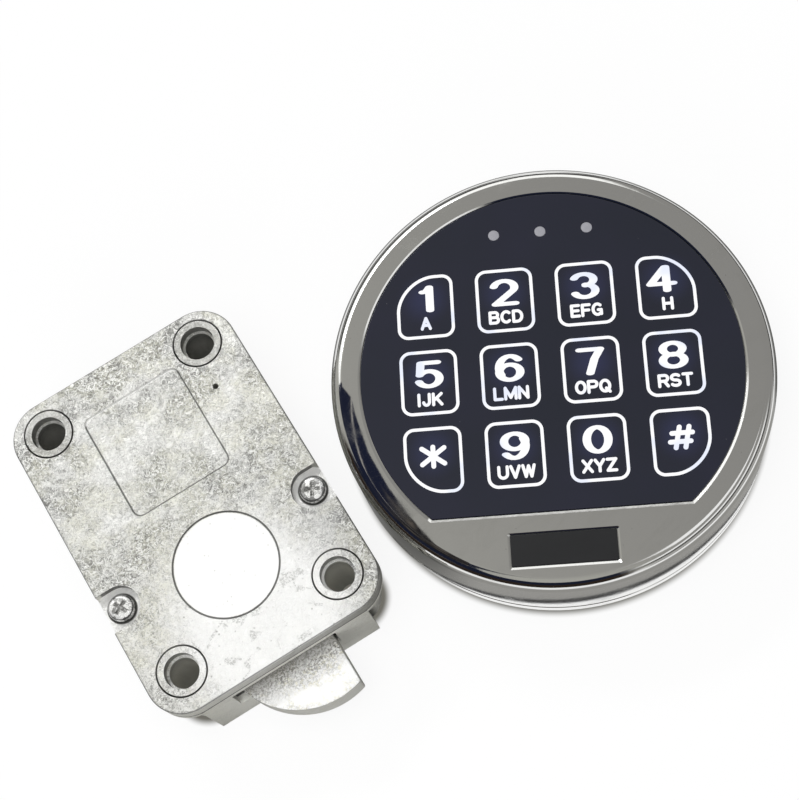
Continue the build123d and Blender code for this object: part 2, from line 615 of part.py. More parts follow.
def cable_socket():
    """Socket that takes the plug of the keypad's cable."""
    depth = BOARD_ARM_LENGTH
    shell = block(-SOCKET_WIDTH / 2, SOCKET_WIDTH / 2, BOARD_REAR - depth, BOARD_REAR + RUN_GAP - SEAT_GAP,
                  LOCK_BOARD_TOP, LOCK_BOARD_TOP + SOCKET_HEIGHT)
    return shell - socket_mouth(0, SOCKET_MOUTH_DEPTH)


def ring_profile(points):
    """A profile of radius and height, turned about the upright axis."""
    return revolve(Plane.XZ * make_face(Polyline(points, close=True)), axis=Axis.Z)


def panel_plan(grow):
    """The round panel's plan with its lower part cut off straight, grown by a clearance."""
    radius = PANEL_R + grow
    chord = PANEL_CHORD + grow
    below = Pos(0, -chord - radius / 2) * Rectangle(2 * radius, radius)
    return Circle(radius) - below


def lens_places():
    """The centres of the three indicator lenses."""
    return [(step * LENS_SPACING, LENS_Y) for step in (-1, 0, 1)]


def key_places():
    """The centres of the twelve touch fields."""
    places = []
    for row in range(KEY_ROWS):
        for column in range(KEY_COLUMNS):
            x = (column - (KEY_COLUMNS - 1) / 2) * KEY_PITCH
            y = KEY_FIELD_Y + ((KEY_ROWS - 1) / 2 - row) * KEY_PITCH
            places.append((x, y))
    return places


def head_screw_places():
    """The centres of the screws that hold the keypad's board under the face."""
    return [(HEAD_SCREW_R * math.cos(math.radians(angle)), HEAD_SCREW_R * math.sin(math.radians(angle)))
            for angle in HEAD_SCREW_ANGLES]


def clamp_screw(angle, radius, inner, outer):
    """A short round bar that points at the keypad's axis."""
    height = BASE_RING_HEIGHT + CLAMP_SCREW_HEIGHT
    middle = (inner + outer) / 2
    rod = Pos(middle, 0, height) * Rot(0, 90, 0) * Cylinder(radius, outer - inner)
    return Rot(0, 0, angle) * rod


def keypad_housing():
    """Chromed round shell: skirt with one groove, rounded edge, ledge for the panel, window recess."""
    groove_low = BASE_RING_HEIGHT + SKIRT_GROOVE_HEIGHT
    groove_high = groove_low + SKIRT_GROOVE_WIDTH
    groove_r = HEAD_R - SKIRT_GROOVE_DEPTH
    shell = ring_profile([(0, FACE_BOTTOM), (HEAD_BORE_R, FACE_BOTTOM), (HEAD_BORE_R, BASE_RING_HEIGHT),
                          (HEAD_R, BASE_RING_HEIGHT), (HEAD_R, groove_low), (groove_r, groove_low),
                          (groove_r, groove_high), (HEAD_R, groove_high), (HEAD_R, HEAD_TOP), (0, HEAD_TOP)])
    shell = fillet(shell.edges().group_by(Axis.Z)[-1], HEAD_EDGE_R)
    shell -= slab(panel_plan(PANEL_GAP), PANEL_BOTTOM, HEAD_TOP + OVERRUN)
    rim = upper_edges(shell, HEAD_TOP).filter_by(lambda e: e.center().Y > -PANEL_CHORD - PANEL_GAP * 2)
    inner_rim = rim.filter_by(lambda e: e.bounding_box().max.X < PANEL_R + PANEL_GAP * 2)
    shell = chamfer(inner_rim, PANEL_CHAMFER)
    shell -= slab(panel_plan(-LEDGE_WIDTH), FACE_BOTTOM - OVERRUN, HEAD_TOP)
    window = Pos(0, WINDOW_Y) * Rectangle(WINDOW_WIDTH, WINDOW_HEIGHT)
    shell -= slab(window, HEAD_TOP - WINDOW_DEPTH, HEAD_TOP + OVERRUN)
    pads = [post(x, y, HEAD_PAD_R, HEAD_BOARD_TOP, FACE_BOTTOM + SEAT_GAP) for x, y in head_screw_places()]
    shell += pads
    hole_top = HEAD_BOARD_TOP + SMALL_SHANK_GRIP
    for x, y in head_screw_places():
        shell -= post(x, y, SMALL_SHANK_R + PIVOT_GAP, HEAD_BOARD_TOP - OVERRUN, hole_top)
    for angle in CLAMP_SCREW_ANGLES:
        shell -= clamp_screw(angle, CLAMP_SCREW_R + SEAT_GAP, HEAD_BORE_R - OVERRUN, HEAD_R + OVERRUN)
    return shell


def clamp_screws():
    """Two grub screws in the skirt, which grip the base's spigot."""
    return [clamp_screw(angle, CLAMP_SCREW_R, HEAD_BORE_R, HEAD_R - SKIRT_GROOVE_DEPTH)
            for angle in CLAMP_SCREW_ANGLES]


def touch_panel():
    """Flush lens plate with three round holes for the indicators."""
    panel = slab(panel_plan(0), PANEL_BOTTOM, HEAD_TOP)
    for x, y in lens_places():
        panel -= post(x, y, LENS_R + PIVOT_GAP, PANEL_BOTTOM - OVERRUN, HEAD_TOP + OVERRUN)
    return panel


def window_inlay():
    """Plain dark plate let into the chrome below the panel."""
    plan = Pos(0, WINDOW_Y) * Rectangle(WINDOW_WIDTH - PANEL_GAP, WINDOW_HEIGHT - PANEL_GAP)
    return slab(plan, HEAD_TOP - WINDOW_DEPTH, HEAD_TOP)


def indicator_lenses():
    """Three small round lenses, flush with the panel."""
    return [post(x, y, LENS_R, PANEL_BOTTOM, HEAD_TOP) for x, y in lens_places()]


def light_guide():
    """Clear plate between board and panel, with a pocket over each light."""
    guide = slab(panel_plan(-LEDGE_WIDTH - RUN_GAP), HEAD_BOARD_TOP, PANEL_BOTTOM)
    half_width = LED_WIDTH / 2 + LED_POCKET_GAP
    half_length = LED_LENGTH / 2 + LED_POCKET_GAP
    roof = HEAD_BOARD_TOP + LED_HEIGHT + LED_POCKET_GAP
    for x, y in key_places() + lens_places():
        guide -= block(x - half_width, x + half_width, y - half_length, y + half_length,
                       HEAD_BOARD_TOP - OVERRUN, roof)
    return guide


def panel_lights():
    """One light under each touch field and each indicator."""
    return [block(x - LED_WIDTH / 2, x + LED_WIDTH / 2, y - LED_LENGTH / 2, y + LED_LENGTH / 2,
                  HEAD_BOARD_TOP, HEAD_BOARD_TOP + LED_HEIGHT) for x, y in key_places() + lens_places()]


def keypad_circuit_board():
    """Round board, screwed up against the housing's pads."""
    board = post(0, 0, HEAD_BORE_R - HEAD_BOARD_GAP, HEAD_BOARD_BOTTOM, HEAD_BOARD_TOP)
    for x, y in head_screw_places():
        board -= post(x, y, SMALL_SHANK_R + SEAT_GAP, HEAD_BOARD_BOTTOM - OVERRUN, HEAD_BOARD_TOP + OVERRUN)
    for side in (-1, 1):
        board -= post(side * STAKE_SPACING / 2, BATTERY_Y, STAKE_R + SEAT_GAP,
                      HEAD_BOARD_BOTTOM - OVERRUN, HEAD_BOARD_TOP + OVERRUN)
    return board


def keypad_board_screws():
    """The four screws of the keypad's board, heads down."""
    screws = []
    for x, y in head_screw_places():
        upright = screw(0, 0, 0, SMALL_HEAD_R, SMALL_HEAD_HEIGHT, SMALL_SHANK_R,
                        BOARD_THICKNESS + SMALL_SHANK_GRIP - SEAT_GAP)
        screws.append(Pos(x, y, HEAD_BOARD_BOTTOM) * Rot(180, 0, 0) * upright)
    return screws


def keypad_processor():
    """Square controller chip under the board."""
    half = KEYPAD_CHIP_SIDE / 2
    chip = block(KEYPAD_CHIP_X - half, KEYPAD_CHIP_X + half, KEYPAD_CHIP_Y - half, KEYPAD_CHIP_Y + half,
                 HEAD_BOARD_BOTTOM - CHIP_HEIGHT, HEAD_BOARD_BOTTOM)
    return chamfer(chip.edges().group_by(Axis.Z)[0], CHIP_HEIGHT / 6)


def sounder():
    """Round buzzer with its sound hole, under the board."""
    low = HEAD_BOARD_BOTTOM - SOUNDER_HEIGHT
    can = post(SOUNDER_X, SOUNDER_Y, SOUNDER_R, low, HEAD_BOARD_BOTTOM)
    return can - post(SOUNDER_X, SOUNDER_Y, SOUNDER_R / 6, low - OVERRUN, low + SOUNDER_HEIGHT / 3)


def cable_header():
    """Box header for the cable that leaves through the base."""
    low = HEAD_BOARD_BOTTOM - HEADER_HEIGHT
    left = HEADER_X - HEADER_WIDTH / 2
    front = HEADER_Y - HEADER_LENGTH / 2
    shell = block(left, left + HEADER_WIDTH, front, front + HEADER_LENGTH, low, HEAD_BOARD_BOTTOM)
    return shell - block(left + HEADER_WALL, left + HEADER_WIDTH - HEADER_WALL, front + HEADER_WALL,
                         front + HEADER_LENGTH - HEADER_WALL, low - OVERRUN, HEAD_BOARD_BOTTOM - HEADER_WALL)


def lengthways(x, radius_or_plan, length):
    """A plan in the YZ plane, run along X from x at the battery's centre line."""
    return Pos(x, BATTERY_Y, BATTERY_MIDDLE) * extrude(Plane.YZ * radius_or_plan, amount=length)


def battery():
    """Block battery with its two terminals at one end."""
    plan = RectangleRounded(BATTERY_WIDTH, BATTERY_THICKNESS, BATTERY_CORNER_R)
    cell = lengthways(BATTERY_X - BATTERY_LENGTH / 2, plan, BATTERY_LENGTH)
    for side, radius in ((-1, TERMINAL_R), (1, SOCKET_TERMINAL_R)):
        cell += lengthways(TERMINAL_X, Pos(side * TERMINAL_SPACING / 2, 0) * Circle(radius), TERMINAL_HEIGHT)
    return cell


def battery_clip():
    """Snap connector that sits on the battery's two terminals."""
    clip = lengthways(TERMINAL_X + SEAT_GAP, Rectangle(CLIP_LENGTH, CLIP_WIDTH), CLIP_THICKNESS)
    for side, radius in ((-1, TERMINAL_R), (1, SOCKET_TERMINAL_R)):
        hole = Pos(side * TERMINAL_SPACING / 2, 0) * Circle(radius + SEAT_GAP)
        clip -= lengthways(TERMINAL_X, hole, TERMINAL_HEIGHT + SEAT_GAP)
    return clip


def battery_tray():
    """Moulded compartment, open towards the base, staked to the keypad's board."""
    plan = Pos(0, BATTERY_Y) * RectangleRounded(TRAY_LENGTH, TRAY_WIDTH, BATTERY_CORNER_R)
    room = Pos(0, BATTERY_Y) * Rectangle(TRAY_LENGTH - 2 * TRAY_WALL, TRAY_WIDTH - 2 * TRAY_WALL)
    tray = slab(plan, BATTERY_BOTTOM, HEAD_BOARD_BOTTOM)
    tray -= slab(room, BATTERY_BOTTOM - OVERRUN, HEAD_BOARD_BOTTOM - TRAY_ROOF)
    for side in (-1, 1):
        tray += post(side * STAKE_SPACING / 2, BATTERY_Y, STAKE_R, HEAD_BOARD_BOTTOM, HEAD_BOARD_TOP)
    return tray


def mounting_base():
    """Round base plate with its rim, spigot, cable hole and two fixing holes."""
    rim_r = HEAD_R - BASE_SETBACK
    spigot_top = BASE_RING_HEIGHT + SPIGOT_HEIGHT
    base = ring_profile([(0, 0), (rim_r, 0), (rim_r, BASE_RING_HEIGHT), (SPIGOT_R, BASE_RING_HEIGHT),
                         (SPIGOT_R, spigot_top), (SPIGOT_BORE_R, spigot_top), (SPIGOT_BORE_R, BASE_PLATE),
                         (0, BASE_PLATE)])
    base -= post(0, 0, CABLE_HOLE_R, -OVERRUN, BASE_PLATE + OVERRUN)
    for side in (-1, 1):
        base -= post(side * BASE_HOLE_SPACING / 2, 0, BASE_HOLE_R, -OVERRUN, BASE_PLATE + OVERRUN)
    return base


def on_keypad(shape):
    """Takes a piece, or a list of pieces, from the keypad's own axes to its place."""
    place = Location((KEYPAD_X, KEYPAD_Y, 0), (0, 0, KEYPAD_ANGLE))
    pieces = shape if isinstance(shape, list) else [shape]
    return [place * piece for piece in pieces]


LOCK_NODES = (lock_case, case_cover, cover_screws, swing_bolt, bolt_pivot_pin, locking_plate, plate_springs,
              solenoid_frame, solenoid_bobbin, solenoid_winding, solenoid_plunger, solenoid_screws,
              lock_circuit_board, lock_board_screws, lock_processor, lock_capacitor, cable_socket)
KEYPAD_NODES = (mounting_base, keypad_housing, clamp_screws, touch_panel, window_inlay, indicator_lenses,
                light_guide, panel_lights, keypad_circuit_board, keypad_board_screws, keypad_processor,
                sounder, cable_header, battery, battery_clip, battery_tray)


def solids_of(shape):
    """All solids of a piece or of a list of pieces."""
    pieces = shape if isinstance(shape, list) else [shape]
    return [solid for piece in pieces for solid in piece.solids()]


def write_node(name, shape):
    """Writes one node's STEP file."""
    found = solids_of(shape)
    export_step(found[0] if len(found) == 1 else Compound(children=found), f"parts/{name}.step")
    print(name, len(found), round(sum(solid.volume for solid in found)))


def main():
    os.makedirs("parts", exist_ok=True)
    for node in LOCK_NODES:
        write_node(node.__name__, node())
    for node in KEYPAD_NODES:
        write_node(node.__name__, on_keypad(node()))


main()
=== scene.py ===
# %% [markdown]
# # An electronic safe lock, dressed for its picture
# Two units lie side by side: a die-cast lock body with a D-shaped bolt, and a round chromed keypad.
# The construction comes in as a fixed frame. This lesson gives it its looks, and never moves a part of it.
# Everything new is modelled in millimetres, as on a drawing, and made small by a thousand at the very end.

import json
import math

import bmesh
import bpy
from mathutils import Matrix, Vector


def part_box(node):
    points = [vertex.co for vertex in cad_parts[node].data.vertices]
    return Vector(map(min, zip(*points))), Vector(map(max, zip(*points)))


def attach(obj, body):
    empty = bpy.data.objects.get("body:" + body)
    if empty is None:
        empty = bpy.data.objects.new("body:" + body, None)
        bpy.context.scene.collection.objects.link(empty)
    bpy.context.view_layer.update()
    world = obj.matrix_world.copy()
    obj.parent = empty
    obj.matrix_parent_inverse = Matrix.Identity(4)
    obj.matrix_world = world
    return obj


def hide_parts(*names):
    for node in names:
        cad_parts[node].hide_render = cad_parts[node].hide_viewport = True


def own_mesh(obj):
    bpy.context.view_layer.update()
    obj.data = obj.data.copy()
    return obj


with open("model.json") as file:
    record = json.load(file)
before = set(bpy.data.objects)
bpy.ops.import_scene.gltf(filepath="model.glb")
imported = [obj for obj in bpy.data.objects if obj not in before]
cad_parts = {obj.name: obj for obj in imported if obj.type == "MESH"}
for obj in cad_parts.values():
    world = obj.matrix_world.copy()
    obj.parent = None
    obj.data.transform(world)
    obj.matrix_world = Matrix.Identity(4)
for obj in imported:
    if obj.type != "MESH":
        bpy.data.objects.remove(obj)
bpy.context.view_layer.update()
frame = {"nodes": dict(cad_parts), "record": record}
MM = 0.001

# %% [markdown]
# ## Where things are
# The frame knows the place of every part, so sizes are read from it wherever it can be asked.
# The keypad stands turned on the table, and its axes are found from the row of its three indicator lenses.


# %% Places read from the frame
def box(node):
    """Lowest and highest corner of a part, in millimetres."""
    low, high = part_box(node)
    return low / MM, high / MM


cover_low, cover_high = box("case_cover")
bolt_low, bolt_high = box("swing_bolt")
head_low, head_high = box("keypad_housing")
panel_low = box("touch_panel")[0]
mounts = {mount["name"]: mount for mount in frame["record"]["mounts"]}
hole_sizes = mounts["lock_fixing_holes"]["dims"]
HOLE_X = hole_sizes["spacing_x_mm"] / 2
HOLE_Y = hole_sizes["spacing_y_mm"] / 2
HEAD_R = (head_high.x - head_low.x) / 2
KEYPAD = Vector(((head_low.x + head_high.x) / 2, (head_low.y + head_high.y) / 2, 0))
LENS_R = 1.3
lens_low, lens_high = box("indicator_lenses")
row_x = lens_high.x - lens_low.x - 2 * LENS_R
row_y = lens_high.y - lens_low.y - 2 * LENS_R
KEYPAD_TURN = -math.atan2(row_y, row_x)
LENS_SPACING = math.hypot(row_x, row_y) / 2
print("keypad at", [round(v, 2) for v in KEYPAD], "turned", round(math.degrees(KEYPAD_TURN), 2), "degrees")

# %% [markdown]
# ## Tools for modelling by hand
# Each helper does what a hand does in the window: pick an object, go into edit mode, select what lies
# in some place, and use an operator on it. The frame's parts are selected after loading, so the first
# thing is always to let go of everything.


# %% Selecting and editing
def pick(piece):
    """Makes one object the only selected one."""
    if bpy.context.object and bpy.context.object.mode != "OBJECT":
        bpy.ops.object.mode_set(mode="OBJECT")
    bpy.ops.object.select_all(action="DESELECT")
    piece.select_set(True)
    bpy.context.view_layer.objects.active = piece
    return piece


def newest(name):
    """Names the object that a primitive has just made, and puts its place into its mesh."""
    piece = bpy.context.object
    piece.name = piece.data.name = name
    pick(piece)
    bpy.ops.object.transform_apply(location=True, rotation=True, scale=True)
    return piece


def edit(piece, kind="VERT"):
    """Opens an object in edit mode with nothing selected."""
    pick(piece)
    bpy.ops.object.mode_set(mode="EDIT")
    bpy.ops.mesh.select_mode(type=kind)
    bpy.ops.mesh.select_all(action="DESELECT")


def choose(kind, test):
    """Selects the vertices, edges or faces in edit mode that pass a test."""
    mesh = bpy.context.object.data
    bpy.ops.mesh.select_mode(type=kind)
    bpy.ops.mesh.select_all(action="DESELECT")
    shape = bmesh.from_edit_mesh(mesh)
    found = [part for part in {"VERT": shape.verts, "EDGE": shape.edges, "FACE": shape.faces}[kind] if test(part)]
    for part in found:
        part.select_set(True)
    bmesh.update_edit_mesh(mesh)
    return len(found)


def leave():
    """Back to object mode."""
    bpy.ops.object.mode_set(mode="OBJECT")


# %% Starting shapes
def block(name, low, high):
    """A box between two corners."""
    low, high = Vector(low), Vector(high)
    bpy.ops.mesh.primitive_cube_add(size=1, location=(low + high) / 2, scale=high - low)
    return newest(name)


def disc(name, radius, low, high, centre=(0, 0), sides=128):
    """An upright round bar."""
    bpy.ops.mesh.primitive_cylinder_add(vertices=sides, radius=radius, depth=high - low,
                                        location=(centre[0], centre[1], (low + high) / 2))
    return newest(name)


def round_uprights(piece, radius, steps, test=lambda edge: True):
    """Rounds the upright edges of a block."""
    edit(piece, "EDGE")
    choose("EDGE", lambda e: (e.verts[0].co - e.verts[1].co).xy.length < 0.001 and test(e))
    bpy.ops.mesh.bevel(offset=radius, segments=steps, affect="EDGES", profile=0.5)
    leave()
    return piece


def turned(name, profile, steps=192):
    """A profile of radius and height spun about the upright axis, as on a lathe."""
    bpy.ops.mesh.primitive_plane_add(size=1)
    piece = newest(name)
    edit(piece)
    bpy.ops.mesh.select_all(action="SELECT")
    bpy.ops.mesh.merge(type="CENTER")
    here = Vector((profile[0][0], 0, profile[0][1]))
    bpy.ops.transform.translate(value=here)
    for radius, height in profile[1:]:
        there = Vector((radius, 0, height))
        bpy.ops.mesh.extrude_region_move(TRANSFORM_OT_translate={"value": there - here})
        here = there
    bpy.ops.mesh.select_all(action="SELECT")
    bpy.ops.mesh.spin(steps=steps, angle=math.tau, center=(0, 0, 0), axis=(0, 0, 1))
    bpy.ops.mesh.select_all(action="SELECT")
    bpy.ops.mesh.remove_doubles(threshold=0.0005)
    bpy.ops.mesh.normals_make_consistent(inside=False)
    leave()
    return piece


def arc(centre, radius, start, end, steps):
    """Points of a round stretch of a profile, from one angle to another in degrees."""
    angles = [math.radians(start + (end - start) * step / steps) for step in range(steps + 1)]
    return [(centre[0] + radius * math.cos(a), centre[1] + radius * math.sin(a)) for a in angles]


# %% Joining, cutting and finishing
def apply_modifier(piece, kind, **settings):
    """Adds one modifier with its settings and applies it at once."""
    pick(piece)
    modifier = piece.modifiers.new(kind.lower(), kind)
    for setting, value in settings.items():
        setattr(modifier, setting, value)
    bpy.ops.object.modifier_apply(modifier=modifier.name)
    return piece


def boolean(piece, others, operation):
    """Cuts away or adds other shapes, which are used up."""
    for other in others:
        apply_modifier(piece, "BOOLEAN", operation=operation, object=other, solver="EXACT")
        bpy.data.objects.remove(other)
    return piece


def cut(piece, *tools):
    """Takes the tools' room out of a piece."""
    return boolean(piece, tools, "DIFFERENCE")


def weld(piece, *others):
    """Makes one solid of several."""
    return boolean(piece, others, "UNION")


def join(name, pieces):
    """Several pieces made one object."""
    pick(pieces[0])
    for piece in pieces[1:]:
        piece.select_set(True)
    bpy.ops.object.join()
    pieces[0].name = pieces[0].data.name = name
    return pieces[0]


def soften(piece, width, steps=2, angle=30):
    """Breaks the sharp edges by a small rounding."""
    return apply_modifier(piece, "BEVEL", width=width, segments=steps, limit_method="ANGLE",
                          angle_limit=math.radians(angle), harden_normals=False, miter_outer="MITER_ARC")


def smooth(piece, angle=30):
    """Smooth shading over the round stretches, with the corners kept."""
    pick(piece)
    bpy.ops.object.shade_smooth_by_angle(angle=math.radians(angle))
    return apply_modifier(piece, "WEIGHTED_NORMAL", keep_sharp=True)


def spun(piece, degrees):
    """Turns a piece about the upright axis, in its mesh."""
    piece.data.transform(Matrix.Rotation(math.radians(degrees), 4, "Z"))
    return piece


def on_keypad(piece):
    """Takes a piece from the keypad's own axes to where the keypad stands."""
    pick(piece)
    piece.rotation_euler.z = KEYPAD_TURN
    piece.location = KEYPAD
    bpy.ops.object.transform_apply(location=True, rotation=True, scale=True)
    return piece


def complete(piece, finish, slot, body, *nodes):
    """Brings a finished piece to metres, gives it its finish and hands it to its body."""
    pick(piece)
    piece.scale = (MM, MM, MM)
    bpy.ops.object.transform_apply(location=True, rotation=True, scale=True)
    piece.data.materials.clear()
    piece.data.materials.append(finish)
    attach(piece, body)
    if nodes:
        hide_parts(*nodes)
    print(piece.name, "faces", len(piece.data.polygons), "on", body)
    return piece


# %% [markdown]
# ## Standing the camera
# The picture is taken from above the table, tilted back and rolled, with a fairly long lens.
# The place and the roll were found from the lock's four fixing holes, whose spacing is known.

# %% Camera
CAMERA_PLACE = Vector((28.9, -132.9, 405.4)) * MM
CAMERA_AIM = Vector((54.5, -3.0, 19.9)) * MM
CAMERA_ROLL = math.radians(-21.15)
CAMERA_LENS = 77.07
bpy.ops.object.camera_add(location=CAMERA_PLACE)
camera = bpy.context.object
camera.data.lens = CAMERA_LENS
camera.data.sensor_fit = "HORIZONTAL"
gaze = (CAMERA_AIM - CAMERA_PLACE).to_track_quat("-Z", "Y")
camera.rotation_euler = (gaze.to_matrix() @ Matrix.Rotation(CAMERA_ROLL, 3, "Z")).to_euler()
bpy.context.scene.camera = camera
bpy.context.scene.view_settings.view_transform = "Standard"
print("camera looks along", [round(v, 3) for v in gaze @ Vector((0, 0, -1))])

# %% [markdown]
# ## Wires for shader sums
# A finish is a web of nodes. So that it reads like a sum on paper, one small class stands for the
# end of a wire: adding or multiplying wires adds Math nodes, and one method adds any other node.


# %% The wire class
class Wire:
    """One output in a node tree, which can be added, multiplied and so on."""

    def __init__(self, tree, socket=None):
        self.tree, self.socket = tree, socket

    def node(self, kind, settings=None, sockets=None, out=0):
        """Adds a node: its settings first, then the values or links of its sockets."""
        made = self.tree.nodes.new(kind)
        for name, value in (settings or {}).items():
            setattr(made, name, value)
        for name, value in (sockets or {}).items():
            if isinstance(value, Wire):
                self.tree.links.new(value.socket, made.inputs[name])
            else:
                made.inputs[name].default_value = value
        return Wire(self.tree, made.outputs[out] if len(made.outputs) else None)

    def maths(self, operation, *others):
        """Math of this wire and others."""
        return self.node("ShaderNodeMath", {"operation": operation}, dict(enumerate((self, *others))))

    def __add__(self, other):
        return self.maths("ADD", other)

    def __sub__(self, other):
        return self.maths("SUBTRACT", other)

    def __rsub__(self, other):
        return self.node("ShaderNodeMath", {"operation": "SUBTRACT"}, {0: other, 1: self})

    def __mul__(self, other):
        return self.maths("MULTIPLY", other)

    def __truediv__(self, other):
        return self.maths("DIVIDE", other)

    __radd__ = __add__
    __rmul__ = __mul__

    def step(self, low, high):
        """Rises softly from 0 at low to 1 at high."""
        return self.node("ShaderNodeMapRange", {"interpolation_type": "SMOOTHSTEP"}, {0: self, 1: low, 2: high})

    def between(self, low, high, soft):
        """One from low to high and 0 elsewhere, with soft ends."""
        return self.step(low - soft, low + soft) * (1 - self.step(high - soft, high + soft))

    def tint(self, dark, light):
        """Goes from one colour to another."""
        ends = [value if isinstance(value, Wire) else (*value, 1) for value in (dark, light)]
        return self.node("ShaderNodeMix", {"data_type": "RGBA"}, {0: self, 6: ends[0], 7: ends[1]}, out=2)

    def axis(self, name):
        """One coordinate of a place."""
        return self.node("ShaderNodeSeparateXYZ", {}, {0: self}, out=name)

    def stretched(self, x, y, z):
        """A place with its axes stretched, so that a pattern on it is drawn out."""
        return self.node("ShaderNodeVectorMath", {"operation": "MULTIPLY"}, {0: self, 1: (x, y, z)})

    def noise(self, size, detail=3.0, roughness=0.55, distortion=0.0):
        """Cloudy pattern with patches of about a size in millimetres, from 0 to 1."""
        return self.node("ShaderNodeTexNoise", {}, {"Vector": self, "Scale": 1 / size, "Detail": detail,
                                                    "Roughness": roughness, "Distortion": distortion})

    def cells(self, size, out="Distance"):
        """Pattern of cells of about a size in millimetres."""
        return self.node("ShaderNodeTexVoronoi", {}, {"Vector": self, "Scale": 1 / size}, out=out)

    def vector(self, operation, other=(0, 0, 0), out=0):
        """Vector Math with another place or vector."""
        return self.node("ShaderNodeVectorMath", {"operation": operation}, {0: self, 1: other}, out=out)

    def reach(self, x, y, wide=1, deep=1):
        """Level distance from an upright line; wide and deep make its rings oval."""
        return self.vector("SUBTRACT", (x, y, 0)).stretched(1 / wide, 1 / deep, 0).vector("LENGTH", out="Value")

    def beyond(self, half):
        """Level distance outside a rectangle about the centre."""
        outside = self.vector("ABSOLUTE").vector("SUBTRACT", (*half, 0))
        return outside.vector("MAXIMUM").stretched(1, 1, 0).vector("LENGTH", out="Value")


# %% Opening and closing a finish
def open_finish(name, centre=(0, 0, 0), turn=0.0):
    """A new material, and the place of a point on the object in millimetres, about a centre."""
    material = bpy.data.materials.new(name)
    material.use_nodes = True
    material.node_tree.nodes.clear()
    start = Wire(material.node_tree)
    place = start.node("ShaderNodeTexCoord", out="Object")
    centred = start.node("ShaderNodeMapping", {"vector_type": "TEXTURE"},
                         {"Vector": place, "Location": Vector(centre) * MM, "Rotation": (0, 0, turn)})
    return material, centred.stretched(1 / MM, 1 / MM, 1 / MM)


def close_finish(material, colour, roughness, metallic=0.0, relief=None, height=0.05, **sockets):
    """Ends a finish in one Principled shader; relief is a pattern whose full step is height millimetres."""
    start = Wire(material.node_tree)
    values = {"Base Color": colour if isinstance(colour, Wire) else (*colour, 1),
              "Roughness": roughness, "Metallic": metallic}
    if relief is not None:
        bump = {"Height": relief, "Strength": 1.0, "Distance": height * MM}
        values["Normal"] = start.node("ShaderNodeBump", {}, bump)
    values.update(sockets)
    shader = start.node("ShaderNodeBsdfPrincipled", {}, values)
    start.node("ShaderNodeOutputMaterial", {}, {"Surface": shader})
    print("finish", material.name, "nodes", len(material.node_tree.nodes))
    return material


# %% [markdown]
# ## Coats of colour
# A worn surface is painted in coats: each coat has a mask, which says where it lies and how thickly, and
# a colour. Laying them one over another keeps a long finish readable, and the last coat covers the most.


# %% Coats
WHITE = (1.0, 1.0, 1.0)


def coats(base, *layers):
    """Lays colours over a base, each through its own mask."""
    for mask, colour in layers:
        base = mask.tint(base, colour)
    return base


def light_path(wires, *rays):
    """One where a ray is of one of these kinds."""
    found = wires.node("ShaderNodeLightPath", out=f"Is {rays[0]} Ray")
    for ray in rays[1:]:
        found = found.maths("MAXIMUM", wires.node("ShaderNodeLightPath", out=f"Is {ray} Ray"))
    return found


# %% [markdown]
# ## The table
# The product lies on a white sweep, which keeps only the soft shadow close to the object. Four kinds of
# ray meet it, and Light Path tells them apart. The camera sees white, except under the lock, where
# painted shade makes the floor dark grey, fading out in a thin dark line at the outline. Light that
# bounces back up is made greyer, so that the lock's sides don't glow. The rest lights and shades like
# matt paper, and mirrors see a table that is painted for them in the cells below.

# %% Table
TABLE_DROP = 0.0002
TABLE_SIZE = 12.0
bpy.ops.object.select_all(action="DESELECT")
bpy.ops.mesh.primitive_plane_add(size=TABLE_SIZE, location=(0, 0, -TABLE_DROP))
table = bpy.context.object
table.name = "table"
table_top, table_place = open_finish("white_table")
table_wires = Wire(table_top.node_tree)
print("table", TABLE_SIZE, "m wide,", TABLE_DROP / MM, "mm below the feet")

# %% Distances on the table
LOCK_CORNER = 8.0
SHADOW_EDGE = 1.4
SHADOW_FAR = 110.0
LIT_WAY = (-0.342, -0.940)
RIGHT_WAY = (0.857, -0.515)


def reach_along(way):
    """How far a place on the table lies from the keypad's middle in one direction."""
    return (table_place.axis("X") - KEYPAD.x) * way[0] + (table_place.axis("Y") - KEYPAD.y) * way[1]


beside_keypad = table_place.reach(KEYPAD.x, KEYPAD.y) - HEAD_R
beside_lock = table_place.beyond((HOLE_X, HOLE_Y)) - LOCK_CORNER
beside = beside_keypad.maths("MINIMUM", beside_lock)
outside = beside.step(-1.0, SHADOW_EDGE)
lit_reach = reach_along(LIT_WAY)
lit_side = lit_reach.step(12.0, 28.0)
right_side = reach_along(RIGHT_WAY).step(30.0, 50.0)
print("lit side of the keypad faces", round(math.degrees(math.atan2(LIT_WAY[1], LIT_WAY[0]))), "degrees")

# %% [markdown]
# The keypad's chromed wall mirrors the table. On its lit side it shows a grey foot, one dark line and
# a grey band before the white begins, and the line stands farther off where the wall is seen more from
# the side. On its other sides, and near the lock, the table looks dark, as it does under a real edge.

# %% Table as mirrors see it
LINE_SPREAD = 0.096
LINE_START = 2.45
LINE_NEAREST = 0.2
line_reach = (lit_reach * LINE_SPREAD - LINE_START).maths("MAXIMUM", LINE_NEAREST)
banded = beside_keypad / line_reach
grey_band = banded.step(1.1, 1.25) * lit_side * (1 - beside_keypad.step(60.0, 120.0))
dark_line = banded.between(0.85, 1.2, 0.06) * lit_side
grey_foot = banded.between(0.0, 0.12, 0.05) * lit_side
shade_reach = right_side * 100.0 + 110.0
keypad_shade = (1 - beside_keypad.step(8.0, shade_reach)) * (1 - lit_side)
near_shade = keypad_shade.maths("MAXIMUM", 1 - beside_lock.step(2.0, 22.0))
mirrored_table = coats(
    WHITE,
    (grey_band, (0.33, 0.325, 0.31)),
    (dark_line, (0.05, 0.05, 0.05)),
    (grey_foot, (0.45, 0.45, 0.43)),
    (near_shade, (0.10, 0.10, 0.095)))
